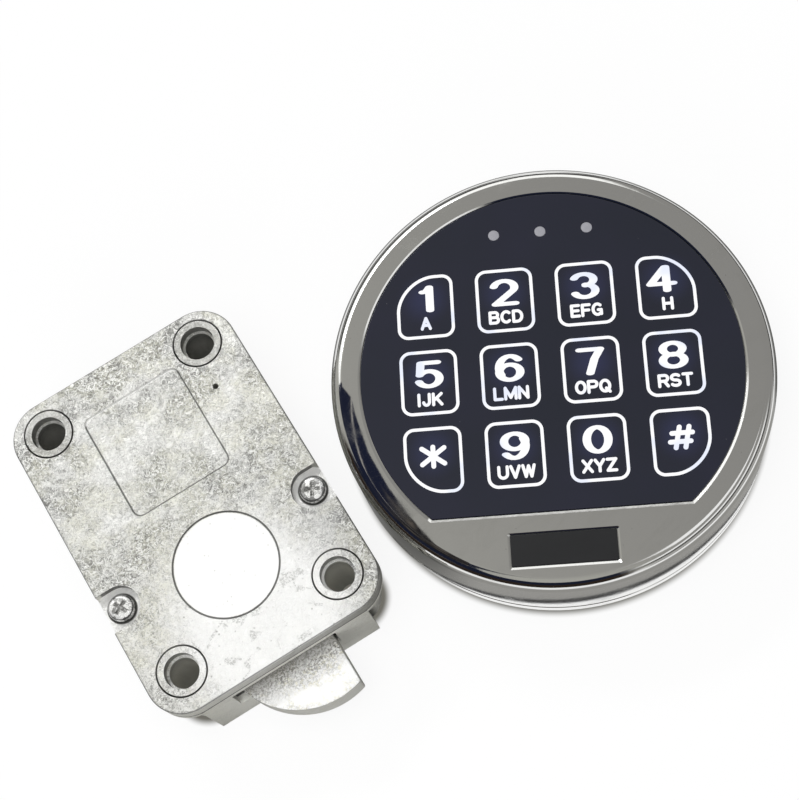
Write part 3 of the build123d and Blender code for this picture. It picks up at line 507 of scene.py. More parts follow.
print("table nodes so far", len(table_top.node_tree.nodes))

# %% Table finish
TABLE_WHITE = (0.95, 0.95, 0.95)
BOUNCE_GREY = (0.36, 0.36, 0.35)
NEAR_WHITE = 0.87
mirrors = light_path(table_wires, "Glossy", "Transmission")
shadow = outside * (1 - beside.step(SHADOW_EDGE, SHADOW_FAR)) * (1 - NEAR_WHITE)
bright_share = light_path(table_wires, "Camera") * (1 - shadow) + mirrors
# painted shade: the floor under the lock, seen through its holes, is dark grey, lighter under the lower holes, and it
# fades to white just outside the outline as a thin dark contact line
under = table_place.axis("Y").step(-30.0, 30.0).tint((0.16, 0.155, 0.135), (0.060, 0.061, 0.057))
seen_table = outside.tint(under, WHITE)
paper = light_path(table_wires, "Diffuse").tint(TABLE_WHITE, BOUNCE_GREY)
matt = table_wires.node("ShaderNodeBsdfDiffuse", {}, {"Color": paper})
table_light = mirrors.tint(seen_table, mirrored_table)
bright = table_wires.node("ShaderNodeEmission", {}, {"Color": table_light, "Strength": 1.0})
ground = table_wires.node("ShaderNodeMixShader", {}, {0: bright_share, 1: matt, 2: bright})
table_wires.node("ShaderNodeOutputMaterial", {}, {"Surface": ground})
table.data.materials.append(table_top)
print("table finish nodes", len(table_top.node_tree.nodes))

# %% [markdown]
# ## The room
# Chrome has hardly a colour of its own and shows what stands round it, so a photographer stands white
# and black cards round such a piece. Lamps and cards of geometry would light the lock as well, so
# here they are painted on the world, for mirror rays only. Each card lies between two headings, in
# degrees round the upright, and two heights, where 0 is the horizon and 1 is straight overhead.

# %% Room
ROOM_LEFT = (0.42, 0.415, 0.385)
ROOM_RIGHT = (0.285, 0.280, 0.268)
CARD_BLACK = (0.05, 0.05, 0.05)
world = bpy.data.worlds.new("grey_room")
bpy.context.scene.world = world
world.use_nodes = True
world.node_tree.nodes.clear()
room = Wire(world.node_tree)
toward = room.node("ShaderNodeTexCoord", out="Generated")
heading = (toward.axis("Y") * -1).maths("ARCTAN2", toward.axis("X") * -1) * (180 / math.pi)
height = toward.axis("Z")
right = 1 - heading.between(-125, 160, 6)
back = heading.between(-112, -32, 6)
rear = heading.between(-131, -58, 4)
front = heading.between(88, 158, 6)
overhead = heading.between(112, 172, 5)
mirrored_room = coats(
    toward.axis("X").step(-0.2, 0.3).tint(ROOM_LEFT, ROOM_RIGHT),
    ((1 - height.step(0.16, 0.30)) * (1 - right), WHITE),
    (right * (1 - height.step(0.12, 0.24)), (0.04, 0.04, 0.04)),
    (back * (1 - height.step(0.18, 0.26)), (0.17, 0.167, 0.16)),
    (rear * height.between(0.54, 0.85, 0.012), (1.2, 1.2, 1.18)),
    (rear * height.between(0.26, 0.49, 0.02), CARD_BLACK),
    (front * (1 - height.step(0.10, 0.36)), (0.33, 0.325, 0.31)),
    (front * height.between(0.56, 0.70, 0.015), WHITE),
    (front * height.between(0.40, 0.53, 0.02), CARD_BLACK),
    (overhead * height.between(0.885, 0.985, 0.008), WHITE))
print("room nodes so far", len(world.node_tree.nodes))

# %% [markdown]
# On the keypad's left a large black cloth, the flag, gives the chrome its dark side. Its upper edge
# slopes down, it is brownish below and bluish above, and one pale seam runs across it in a wave.

# %% Flag and light of the room
ROOM_LIGHT = (0.30, 0.30, 0.30)
flag_top = 0.993 - heading.step(6, 34) * 0.19
flag = heading.between(-34, 84, 4) * height.step(0.06, 0.12) * (1 - (height - flag_top).step(-0.012, 0.012))
flag_shade = height.step(0.45, 0.60).tint((0.026, 0.018, 0.013), (0.010, 0.013, 0.028))
seam_wave = (heading * 0.12).maths("SINE") * 0.05
seam = (height - seam_wave).between(0.50, 0.515, 0.008) * heading.between(-26, 22, 6)
mirrored_room = coats(mirrored_room, (flag, flag_shade), (flag * seam * 0.6, (0.40, 0.38, 0.34)))
seen_room = coats(
    ROOM_LIGHT,
    (light_path(room, "Glossy", "Transmission"), mirrored_room),
    (light_path(room, "Camera"), WHITE))
sky = room.node("ShaderNodeBackground", {}, {"Color": seen_room, "Strength": 1.0})
room.node("ShaderNodeOutputWorld", {}, {"Surface": sky})
print("room nodes", len(world.node_tree.nodes))

# %% [markdown]
# ## The lamps
# Three soft boxes light the pieces. The long one at the rear is mirrored in the chrome's upper edge. The
# one overhead and the one in front only fill, so mirrors don't see them and the chrome stays calm.

# %% Lamps
STAGE_CENTRE = Vector((45.0, -5.0, 20.0)) * MM


def soft_box(name, direction, distance, size, power, mirrored):
    """A square lamp that stands off the centre in a direction and faces it."""
    outward = Vector(direction).normalized()
    bpy.ops.object.light_add(type="AREA")
    lamp = bpy.context.object
    lamp.name = name
    lamp.location = STAGE_CENTRE + outward * distance
    lamp.rotation_euler = outward.to_track_quat("Z", "Y").to_euler()
    lamp.data.shape = "RECTANGLE"
    lamp.data.size, lamp.data.size_y = size
    lamp.data.energy = power
    lamp.visible_glossy = mirrored
    print(name, power, "W at", round(distance, 2), "m")


soft_box("rear_box", (-0.02, 0.66, 0.75), 0.75, (0.36, 0.10), 1.4, True)
soft_box("top_box", (-0.12, -0.16, 0.98), 0.80, (0.50, 0.50), 3.8, False)
soft_box("front_box", (-0.50, -0.80, 0.42), 0.80, (0.40, 0.30), 1.6, False)

# %% [markdown]
# ## The dark crescent
# The keypad's flat face shows one thing from near by: a dark shape with a curved edge, which eats into
# the pale chrome at its lower left. The world is endlessly far away and can't give such an edge, so a
# thin card hangs close over the keypad's rim. Only mirror rays meet it: it casts no shadow.

# %% Dark crescent over the keypad's edge
CRESCENT_LIFT = 10.0
CRESCENT_SHIFT = (0.4, 2.8)
CRESCENT_INNER = ((149, 50.5), (154, 47.4), (160, 46.9), (172, 46.6), (184, 46.7), (192, 47.2), (199, 48.2),
                  (207, 49.6), (216, 51.2))
CRESCENT_OUTER = 58.0
bpy.ops.object.select_all(action="DESELECT")
bpy.ops.mesh.primitive_circle_add(vertices=2 * len(CRESCENT_INNER), radius=1, fill_type="NOTHING")
crescent = newest("dark_crescent")
ring = [*CRESCENT_INNER, *((angle, CRESCENT_OUTER) for angle, _ in CRESCENT_INNER[::-1])]
for vertex, (angle, radius) in zip(crescent.data.vertices, ring):
    vertex.co = (radius * math.cos(math.radians(angle)) + CRESCENT_SHIFT[0],
                 radius * math.sin(math.radians(angle)) + CRESCENT_SHIFT[1], 0)
edit(crescent)
bpy.ops.mesh.select_all(action="SELECT")
bpy.ops.mesh.edge_face_add()
leave()
crescent.scale = (MM, MM, MM)
crescent.location = (KEYPAD + Vector((0, 0, head_high.z + CRESCENT_LIFT))) * MM
bpy.ops.object.transform_apply(location=True, rotation=True, scale=True)
print("crescent", len(ring), "points,", CRESCENT_LIFT, "mm over the keypad")

# %% [markdown]
# The card isn't plain: bluish at its upper end and nearly black below, with brownish streaks like
# those of a wooden edge, and one pale hairline along the upper part.

# %% The crescent's streaks
card, card_place = open_finish("streaked_dark_card", (KEYPAD.x, KEYPAD.y, 0))
card_wires = Wire(card.node_tree)
card_reach = card_place.reach(0, 0)
card_side = (card_place.axis("Y") * -1).maths("ARCTAN2", card_place.axis("X") * -1)
grain_place = card_wires.node("ShaderNodeCombineXYZ", {}, {0: card_reach * 1.6, 1: card_side * 9})
streaks = grain_place.noise(1.6, 3, 0.6).step(0.50, 0.68)
hairline = (card_reach - card_side * 2.2).between(49.3, 49.6, 0.08) * (1 - card_side.step(0.0, 0.5))
shade = coats(
    card_side.step(-0.05, 0.25).tint((0.011, 0.014, 0.032), (0.016, 0.015, 0.017)),
    (streaks * card_side.step(-0.1, 0.2) * 0.7, (0.16, 0.14, 0.12)),
    (hairline * 0.8, (0.5, 0.48, 0.45)))
card_glow = card_wires.node("ShaderNodeEmission", {}, {"Color": shade, "Strength": 1.0})
card_wires.node("ShaderNodeOutputMaterial", {}, {"Surface": card_glow})
crescent.data.materials.append(card)
crescent.visible_camera = crescent.visible_diffuse = crescent.visible_shadow = False
print("crescent nodes", len(card.node_tree.nodes))

# %% [markdown]
# ## Die-cast zinc
# Case and cover are the same metal, and it isn't one grey. It cools in clouds with fine pale and dark creases,
# takes a yellowish bloom where hands and air have been, and is burnished nearly white at its lower end, where
# it was tumbled and where painted light also stands for the brighter light that falls there. Painted shade
# darkens its right side. Scratches in a picture would be easy, but a picture has an end: noise in the metal's
# own room runs round every edge, so the whole finish is noise, laid on in coats.

# %% Places on the lock
RING_Y = -17.5
RING_R = 12.65
top = cover_high.z
RECESS_FLOOR = top - 0.4
RECESS_CENTRE = (0.4, 17.3)
RECESS_SIZE = (25.4, 27.8)
RECESS_CORNER = 2.0
LIP_LOW = top - 0.5
LEDGE_LEVEL = top - 3.0
COVER_UNDER = 23.4
NOTCH_PLACE = (25.8, 12.65)
NOTCH_R = 4.9
NOTCH_FLOOR = top - 2.6
BOSS_R = 5.7
corners = [(x, y) for x in (-HOLE_X, HOLE_X) for y in (-HOLE_Y, HOLE_Y)]
print("cover from", COVER_UNDER, "to", round(top, 2), "mm, holes at", [(round(x, 2), round(y, 2)) for x, y in corners])


# %% The casting's skin
def zinc_specks(place):
    """Small dark pits, in swarms."""
    return (1 - place.cells(1.5).step(0.03, 0.21)) * place.noise(4, 3).step(0.47, 0.58)


def cast_skin(place):
    """Colour, roughness, metallic and relief of a worn zinc casting, with painted light on its lower end and painted
    shade on its right side.
    """
    across, along = place.axis("X"), place.axis("Y")
    clouds = (place.noise(9, 5, 0.66, 0.7) * 0.6 + place.noise(24, 2) * 0.4).step(0.41, 0.59)
    crinkle = place.noise(0.95, 3, 0.62, 1.2).step(0.42, 0.56)
    grain = place.noise(0.42, 2, 0.6, 0.6).step(0.42, 0.58)
    pale_creases = 1 - (place.noise(1.3, 3, 0.6, 0.9) - 0.5).maths("ABSOLUTE").step(0.012, 0.065)
    dark_creases = 1 - (place.noise(1.55, 3, 0.6, 1.1) - 0.47).maths("ABSOLUTE").step(0.012, 0.060)
    bloom = place.noise(8, 4, 0.6).step(0.40, 0.60)
    specks = zinc_specks(place)
    # painted light and wear: the lower end is burnished nearly white, which also stands for the brighter light there
    burnished_and_lit_end = 1 - place.reach(1, -34, 25, 30).step(0.5, 1.1)
    wear = 1 - burnished_and_lit_end * 0.92
    smudges = place.noise(4.5, 3, 0.6, 0.6).step(0.55, 0.64) * (1 - grain) * burnished_and_lit_end
    pale_side = (1 - across.step(-16.0, 2.0)) * (1 - along.step(-14.0, 6.0))
    # painted shade: the right side, near the keypad, is darker
    painted_shade_right = across.step(10.0, 29.0) * along.between(-38.0, -8.0, 8.0)
    rough_patch = clouds * 0.6 + 0.45
    worn_metal = coats(
        clouds.tint((0.99, 0.99, 0.96), (0.40, 0.40, 0.385)),
        (pale_side * 0.5, (0.95, 0.94, 0.88)),
        (painted_shade_right * 0.55, (0.36, 0.36, 0.36)),
        (bloom * 0.45, (0.77, 0.76, 0.60)),
        (((1 - crinkle) * 0.24 + (1 - grain) * 0.28) * rough_patch, (0.16, 0.16, 0.15)),
        (dark_creases * rough_patch * 0.58, (0.08, 0.08, 0.075)),
        (pale_creases * rough_patch * 0.80 + crinkle * 0.08, (1.0, 1.0, 0.97)))
    colour = coats(
        wear.tint((0.97, 0.97, 0.955), worn_metal),
        (smudges * 0.5, (0.30, 0.30, 0.28)),
        (specks * 0.6, (0.15, 0.145, 0.12)))
    relief = crinkle * 0.5 + grain * 0.3 + pale_creases * 0.5 - dark_creases * 0.4 - specks * 0.8
    return colour, crinkle * 0.16 + 0.30, wear * 0.35 + 0.15, relief


# %% [markdown]
# The cover and the case have marks of their own on top of that skin. They lie where the shape has a
# reason for them: dark lines run along the seam and the groove, painted light and painted shade fall on
# walls, notches, holes and the recess's edge, and the ring's disc was ground smooth. So each mask is worked
# out from the same sizes as the shape.


# %% Marks of the cover
def cover_marks(place):
    """Coats for the cover's ring disc, recess, notches, walls and groove, with painted light and shade on the recess's
    edge, the notches and the walls; its smooth disc; its dark rim.
    """
    across, along, level = place.axis("X"), place.axis("Y"), place.axis("Z")
    disc_mask = 1 - place.reach(0, RING_Y).step(RING_R - 0.7, RING_R - 0.3)
    groove = place.reach(0, RING_Y).between(RING_R - 0.28, RING_R, 0.03)
    sunk = level.between(RECESS_FLOOR - 0.05, RECESS_FLOOR + 0.05, 0.03)
    inner_half = (RECESS_SIZE[0] / 2 - RECESS_CORNER, RECESS_SIZE[1] / 2 - RECESS_CORNER)
    recess_edge = place.vector("SUBTRACT", (*RECESS_CENTRE, 0)).beyond(inner_half)
    recess_edge = recess_edge.between(RECESS_CORNER - 0.16, RECESS_CORNER + 0.24, 0.06)
    # painted highlight on the recess's upper wall, painted shadow along its other edges
    recess_highlight_and_shadow = along.step(29.6, 30.6).tint((0.10, 0.10, 0.095), (1.0, 1.0, 0.98))
    notch = place.vector("ABSOLUTE").reach(*NOTCH_PLACE)
    well = 1 - notch.step(NOTCH_R + 0.6, NOTCH_R + 0.9)
    well = well * (1 - level.step(top - 0.3, top - 0.2)) * (1 - along.step(-1.0, 1.0))
    notch_floor = 1 - level.step(NOTCH_FLOOR + 0.25, NOTCH_FLOOR + 0.45)
    walls = 1 - level.step(top - 0.7, top - 0.5)
    # painted light and shade on the cover's side walls: lighter on the left, darker on the right
    wall_light_and_shade = across.step(-24.0, 4.0).tint((0.85, 0.84, 0.78), (0.30, 0.295, 0.27))
    marks = [
        (disc_mask * 0.92, (0.95, 0.95, 0.93)),
        (disc_mask * zinc_specks(place) * 0.35, (0.40, 0.40, 0.38)),
        (sunk * 0.08, (0.90, 0.90, 0.85)),
        (recess_edge * 0.72, recess_highlight_and_shadow),
        # painted shade on the notch walls, painted light on the notch floor, and a painted contact shadow round each
        # screw head
        (well * (1 - notch_floor) * 0.9, (0.07, 0.07, 0.065)),
        (well * notch_floor * 0.9, (1.0, 1.0, 0.98)),
        (well * (1 - notch.step(3.45, 3.75)), (0.08, 0.08, 0.075)),
        (walls * (1 - well) * 0.7, wall_light_and_shade),
        (groove * 0.45, (0.06, 0.06, 0.055))]
    rim = level.between(LIP_LOW, top - 0.10, 0.05) * (1 - sunk) * (1 - recess_edge)
    return marks, disc_mask, rim


# %% Marks of the case
def case_marks(place):
    """Coats for the case's walls, lightened by painted light, and its inside, darkened by painted shade; no smooth
    disc; its dark rim.
    """
    along, level = place.axis("Y"), place.axis("Z")
    mirrored_place = place.vector("ABSOLUTE")
    walls = 1 - level.step(COVER_UNDER - 0.1, COVER_UNDER + 0.1)
    inside = (1 - mirrored_place.axis("X").step(22.0, 24.0)) * along.between(-41.2, 40.7, 0.12)
    inside = inside * walls * mirrored_place.reach(HOLE_X, HOLE_Y).step(BOSS_R - 0.1, BOSS_R + 0.1)
    # painted light on the case walls, painted shade inside the case behind the bolt's slot
    marks = [(walls * 0.6, (0.99, 0.98, 0.89)), (inside * 0.85, (0.05, 0.05, 0.045))]
    return marks, None, level.between(LIP_LOW, top - 0.10, 0.05)


# %% Marks round the holes
def hole_marks(place):
    """Coats for the joint round each fixing hole and the upper bosses; painted shade on the holes' step; painted light
    and shade inside them.
    """
    along, level = place.axis("Y"), place.axis("Z")
    hole = place.vector("ABSOLUTE").reach(HOLE_X, HOLE_Y)
    joint = hole.between(BOSS_R - 0.08, BOSS_R + 0.16, 0.04)
    upper_boss = (1 - hole.step(BOSS_R - 0.3, BOSS_R - 0.1)) * along.step(10.0, 24.0)
    # painted shade on the wall of each hole's step
    step_wall = hole.between(3.95, 4.6, 0.05) * level.between(LEDGE_LEVEL + 0.15, top - 0.45, 0.1)
    deep = (1 - hole.step(3.56, 3.66)) * (1 - level.step(LEDGE_LEVEL - 0.3, LEDGE_LEVEL - 0.1))
    # painted light and shade inside the holes: lighter in the lower holes and further down, darker in the upper holes
    # and near the step
    depth = along.step(-20.0, 20.0) * 0.6 + level.step(top - 10.0, top - 4.0) * 0.4
    return [
        (joint * 0.6, (0.08, 0.08, 0.075)),
        (upper_boss * 0.5, (0.50, 0.50, 0.47)),
        (step_wall * 0.8, (0.12, 0.12, 0.11)),
        (deep * 0.85, depth.tint((0.84, 0.83, 0.77), (0.24, 0.24, 0.225)))]


# %% Zinc finishes
def cast_zinc(name, own_marks):
    """Mottled zinc with the marks of one piece, the dark seam under the cover and the holes' marks."""
    material, place = open_finish(name)
    colour, roughness, metallic, relief = cast_skin(place)
    marks, ground_disc, rim = own_marks(place)
    if ground_disc is not None:
        metallic = metallic * (1 - ground_disc * 0.8)
        relief = relief * (1 - ground_disc * 0.8)
    seam = place.axis("Z").between(COVER_UNDER - 0.45, COVER_UNDER + 0.25, 0.05)
    colour = coats(
        colour,
        *marks,
        (seam * 0.9, (0.03, 0.03, 0.027)),
        (rim * 0.75, (0.08, 0.08, 0.075)),
        *hole_marks(place))
    return close_finish(material, colour, roughness, metallic, relief, 0.05)


cover_finish = cast_zinc("mottled_cover_zinc", cover_marks)
case_finish = cast_zinc("mottled_case_zinc", case_marks)


# %% [markdown]
# ## Bolt metal
# The bolt is cast finer and polished by its own travel. Its root, by the front wall, is grey and grainy, and
# painted shade makes its rounded side darker than its face, darkest where it meets the wall. Part of it is
# always inside the lock, and no lamp reaches that, so painted shade darkens the finish there.


# %% Bolt finish
def satin_bolt():
    """Fine-grained satin cast metal, grey and grainy at the root, with painted shade down its rounded side and inside
    the lock.
    """
    material, place = open_finish("satin_bolt_metal")
    along, level = place.axis("Y"), place.axis("Z")
    fine = place.noise(0.55, 3, 0.65, 0.8)
    grain = fine.step(0.40, 0.58)
    clouds = place.noise(5, 4, 0.6)
    flecks = place.noise(0.8, 3, 0.6, 0.8).step(0.48, 0.60)
    root = along.step(-51.0, -42.8)
    side = 1 - level.step(bolt_high.z - 0.45, bolt_high.z - 0.30)
    rim = level.between(bolt_high.z - 0.42, bolt_high.z - 0.22, 0.04)
    colour = coats(
        (flecks * clouds.step(0.40, 0.58)).tint((1.0, 1.0, 0.985), (0.91, 0.89, 0.77)),
        ((1 - grain) * (root * 0.9 + clouds.step(0.45, 0.6) * 0.30), (0.13, 0.125, 0.11)),
        (root * root * 0.8, (0.17, 0.165, 0.15)),
        # painted shade: the rounded side is darker than the face, darkest by the front wall and inside the lock
        (side * 0.7, (0.60, 0.59, 0.54)),
        (rim * 0.6, (0.12, 0.12, 0.11)),
        (side * along.step(-46.0, -42.0) * 0.85, (0.07, 0.07, 0.06)),
        (along.step(-42.0, -41.4) * 0.9, (0.04, 0.04, 0.035)))
    return close_finish(material, colour, grain * 0.2 + 0.36, 0.06, grain + clouds * 0.3, 0.04)


bolt_finish = satin_bolt()


# %% [markdown]
# ## Steel parts
# Small steel parts are zinc plated: bright, faintly blue and yellow in places, with fine scratches.
# Sheet steel shows the long marks of rolling, so its noise is drawn out along one axis. The screws in
# the cover are brighter, with painted glints for what each dent of their heads mirrors, and painted
# shade fills the cross.


# %% Plated steel
def plated_steel(name, tone=0.78, streak=(1, 1, 1), roughness=0.24):
    """Zinc-plated steel; streak draws its marks out along one axis."""
    material, place = open_finish(name)
    marks = place.stretched(*streak).noise(0.5, 4, 0.65)
    bloom = place.noise(2.5, 3)
    colour = coats(
        bloom.tint((tone * 0.86, tone * 0.88, tone * 0.92), (tone, tone * 0.98, tone * 0.93)),
        (marks.step(0.55, 0.8) * 0.4, (tone * 0.55, tone * 0.55, tone * 0.54)))
    return close_finish(material, colour, marks * 0.2 + bloom * 0.1 + roughness - 0.1, 0.9, marks, 0.015)


sheet_finish = plated_steel("rolled_sheet_steel", 0.66, (1, 0.06, 1), 0.34)
turned_finish = plated_steel("turned_pin_steel", 0.62, (0.2, 0.2, 3), 0.26)
spring_finish = plated_steel("drawn_spring_wire", 0.55, (2, 0.3, 2), 0.30)

# %% Screw steel
SCREW_HEAD = 2.0
SCREW_HEAD_R = 3.15
SCREW_TOP = NOTCH_FLOOR + SCREW_HEAD


def plated_screw():
    """Bright screw steel with painted glints; painted shade darkens the cross and the rim of the cover's two screws.
    """
    material, place = open_finish("bright_screw_steel")
    level = place.axis("Z")
    marks = place.noise(0.35, 4, 0.65)
    # painted glints: random cells of the head light up as if they mirrored something bright
    painted_glints = place.cells(1.1, out="Color").axis("X")
    from_middle = place.vector("ABSOLUTE").reach(*NOTCH_PLACE)
    cross = (1 - from_middle.step(2.3, 2.5)) * (1 - level.step(SCREW_TOP - 0.35, SCREW_TOP - 0.12))
    # painted shade in the cross and round the foot of the head
    rim = from_middle.between(2.72, 2.98, 0.05) + (1 - level.step(NOTCH_FLOOR + 0.3, NOTCH_FLOOR + 0.5))
    cross_shade = marks.step(0.38, 0.60).tint((0.17, 0.17, 0.165), (0.75, 0.75, 0.73))
    colour = coats(
        (marks * 0.4 + painted_glints * 0.6).step(0.3, 0.6).tint((0.30, 0.30, 0.29), (1.0, 1.0, 0.98)),
        (cross * level.step(NOTCH_FLOOR, NOTCH_FLOOR + 0.1), cross_shade),
        (rim * level.step(NOTCH_FLOOR - 0.4, NOTCH_FLOOR - 0.2) * 0.85, (0.06, 0.06, 0.06)))
    return close_finish(material, colour, marks * 0.2 + 0.16, 0.45, marks, 0.03)


screw_finish = plated_screw()


# %% [markdown]
# ## Copper winding
# The solenoid's coil is enamelled wire in close turns. Hundreds of modelled turns would be heavy, and
# they are less than half a millimetre apart, so a wave texture gives their colour and their relief.


# %% Copper winding
def wound_copper():
    """Enamelled wire in close turns round the coil's axis."""
    material, place = open_finish("wound_copper_wire")
    turns = place.node("ShaderNodeTexWave", {"wave_type": "BANDS", "bands_direction": "Y", "wave_profile": "SIN"},
                       {"Vector": place, "Scale": 0.9, "Distortion": 0.4, "Detail": 1.0})
    patch = place.noise(3, 3)
    colour = turns.tint((0.20, 0.07, 0.03), patch.tint((0.50, 0.19, 0.08), (0.74, 0.34, 0.17)))
    return close_finish(material, colour, patch * 0.2 + 0.25, 0.85, turns, 0.12)


copper_finish = wound_copper()


# %% [markdown]
# ## Moulded and printed finishes
# Plastics differ in small ways: a fine spark-eroded texture on housings, a satin face on chips,
# a smooth sleeve on the capacitor. The boards carry tracks under their green varnish.


# %% Plastics
def moulded(name, dark, light, roughness, grain_size=0.3, height=0.03):
    """Moulded plastic with a fine texture, slow clouds and a few scuffs."""
    material, place = open_finish(name)
    grain = place.noise(grain_size, 3, 0.6)
    clouds = place.noise(8, 3)
    scuffs = place.stretched(0.25, 2.2, 1).noise(2.2, 5, 0.7).step(0.62, 0.74)
    scuffed = tuple(min(1.0, share * 1.5 + 0.02) for share in light)
    colour = coats((clouds * 0.6 + grain * 0.4).tint(dark, light), (scuffs * 0.3, scuffed))
    uneven = grain * 0.16 + scuffs * 0.12 + roughness - 0.08
    return close_finish(material, colour, uneven, 0.0, grain, height)


black_finish = moulded("black_moulding", (0.018, 0.018, 0.020), (0.045, 0.045, 0.048), 0.52)
chip_finish = moulded("chip_resin", (0.012, 0.012, 0.013), (0.030, 0.030, 0.031), 0.42, 0.18, 0.012)
cream_finish = moulded("cream_nylon", (0.70, 0.66, 0.54), (0.84, 0.81, 0.70), 0.45)
lamp_finish = moulded("lamp_package", (0.86, 0.86, 0.78), (0.95, 0.95, 0.90), 0.35, 0.2, 0.01)
guide_finish = moulded("clear_light_guide", (0.80, 0.84, 0.88), (0.90, 0.93, 0.96), 0.18, 0.6, 0.006)
sleeve_finish = moulded("capacitor_sleeve", (0.022, 0.026, 0.055), (0.045, 0.05, 0.09), 0.24, 1.2, 0.02)


# %% [markdown]
# A board is printed copper under green varnish. Two brick patterns give tracks of two kinds, one for
# each half of the board's areas, and small cells give the tinned holes between them.


# %% Circuit boards
def printed_board(name):
    """Green varnish over copper: wide filled areas, and thin tracks that stand up a little."""
    material, place = open_finish(name)
    flat = place.stretched(1, 1, 0)
    along = flat.node("ShaderNodeTexBrick", {"offset": 0.35, "squash": 1.6, "squash_frequency": 3},
                      {"Vector": flat, "Color1": (1, 1, 1, 1), "Color2": (1, 1, 1, 1), "Mortar": (0, 0, 0, 1),
                       "Scale": 0.42, "Mortar Size": 0.045, "Mortar Smooth": 0.15, "Row Height": 0.42}, out="Fac")
    long_flat = flat.stretched(0.55, 1.3, 0)
    across = long_flat.node("ShaderNodeTexBrick", {"offset": 0.5},
                            {"Vector": long_flat, "Scale": 0.25, "Mortar Size": 0.03, "Mortar Smooth": 0.1}, out="Fac")
    filled = flat.noise(14, 1).step(0.52, 0.54)
    tracks = (along * (1 - filled)).maths("MAXIMUM", across * filled)
    vias = 1 - flat.cells(3.4).step(0.05, 0.09)
    weave = place.noise(0.7, 2)
    colour = coats(
        tracks.tint((0.012, 0.085, 0.036), (0.030, 0.205, 0.080)),
        (weave * 0.25, (0.02, 0.12, 0.06)),
        (vias, (0.62, 0.60, 0.50)))
    return close_finish(material, colour, weave * 0.12 + 0.26, vias * 0.8, tracks + vias, 0.035)


board_finish = printed_board("green_circuit_board")


# %% [markdown]
# The battery is a printed can with a copper-coloured end, scuffed by being pushed in and out. It is
# bare of words.


# %% Battery
def battery_can():
    """Plain printed can, darker at one end, bare of marks."""
    material, place = open_finish("battery_can_print", KEYPAD, KEYPAD_TURN)
    end = place.axis("X").step(11.6, 11.9)
    grain = place.noise(0.4, 3)
    scuffs = place.stretched(0.2, 2, 1).noise(3, 5, 0.7).step(0.62, 0.75)
    colour = coats(end.tint((0.045, 0.05, 0.062), (0.46, 0.30, 0.13)), (scuffs * 0.35, (0.42, 0.42, 0.42)))
    return close_finish(material, colour, grain * 0.1 + 0.3, 0.55, grain, 0.01)


can_finish = battery_can()


# %% [markdown]
# ## Chrome
# Chrome is a mirror with faults: the casting under it ripples a little, like the skin of an orange,
# and fingers leave dull smears. A perfect mirror looks like a drawing, so the faults are kept.


# %% Chrome
def bright_chrome(name, tone=0.80):
    """Chrome plate over a fairly smooth casting."""
    material, place = open_finish(name)
    ripple = place.noise(2.6, 2, 0.5)
    fine = place.noise(0.5, 3, 0.6)
    smear = place.stretched(0.5, 1, 1).noise(11, 5, 0.65, 1.2).step(0.48, 0.75)
    pits = 1 - place.cells(3.2).step(0.015, 0.05)
    colour = coats(
        smear.tint((tone, tone, tone * 0.985), (tone * 0.93, tone * 0.93, tone * 0.91)),
        (pits * 0.5, (0.25, 0.25, 0.25)))
    return close_finish(material, colour, smear * 0.10 + fine * 0.05 + 0.05, 1.0, ripple + fine * 0.05, 0.010)


chrome_finish = bright_chrome("bright_chrome")
base_finish = bright_chrome("dull_base_chrome", 0.66)


# %% [markdown]
# ## Touch panel
# The panel is a black-blue gloss lens, and each key's lamp spills a violet glow into it round the digit.
# Twelve lamps under the lens would be slow and noisy, so the glow is part of the finish: the place is
# folded into one key's field, and the glow fades with the distance from the middle of its digit.


# %% Touch panel
KEY_PITCH = 18.95
KEY_COLUMNS = 4
KEY_ROWS = 3
KEY_FIELD_Y = -0.7
DIGIT_RAISE = 2.0


def panel_lens():
    """Dark gloss lens with the glow of the key lamps under it."""
    material, place = open_finish("dark_panel_lens", KEYPAD, KEYPAD_TURN)
    across = place.axis("X") / KEY_PITCH + KEY_COLUMNS / 2
    up = (place.axis("Y") - KEY_FIELD_Y) / KEY_PITCH + KEY_ROWS / 2
    cell_x = (across.maths("FRACT") - 0.5) * KEY_PITCH
    cell_y = (up.maths("FRACT") - 0.5) * KEY_PITCH - DIGIT_RAISE
    radius = (cell_x * cell_x + cell_y * cell_y).maths("SQRT")
    inside = across.between(0, KEY_COLUMNS, 0.02) * up.between(0, KEY_ROWS, 0.02)
    glow = (1 - radius.step(0.5, 7.4)) * inside
    dust = 1 - place.cells(5.5).step(0.006, 0.02)
    colour = coats(
        place.noise(20, 2).tint((0.0115, 0.0145, 0.022), (0.016, 0.0165, 0.033)),
        (dust * 0.35, (0.4, 0.4, 0.42)))
    light = glow.tint((0.0, 0.0, 0.0), (0.009, 0.011, 0.038))
    return close_finish(material, colour, place.noise(7, 3) * 0.05 + 0.09, 0.0, place.noise(5, 2), 0.004,
                        **{"Emission Color": light, "Emission Strength": 1.0, "Coat Weight": 0.15})


panel_finish = panel_lens()


# %% [markdown]
# The dark plate below the panel is satin rather than glossy, so it shows no card of the room. The three
# lenses are milky and hardly lit. The key marks are the brightest thing on the keypad: they give off
# their own light, since paint alone would turn grey in the shade.


# %% Window, indicator lenses and key marks
def window_plate():
    """Smooth dark plate, almost black."""
    material, place = open_finish("dark_window_plate", KEYPAD, KEYPAD_TURN)
    streaks = place.stretched(0.3, 2, 1).noise(6, 4, 0.6)
    colour = streaks.tint((0.0045, 0.005, 0.006), (0.009, 0.0095, 0.011))
    return close_finish(material, colour, streaks * 0.08 + 0.42, 0.0, place.noise(0.5, 2), 0.004)


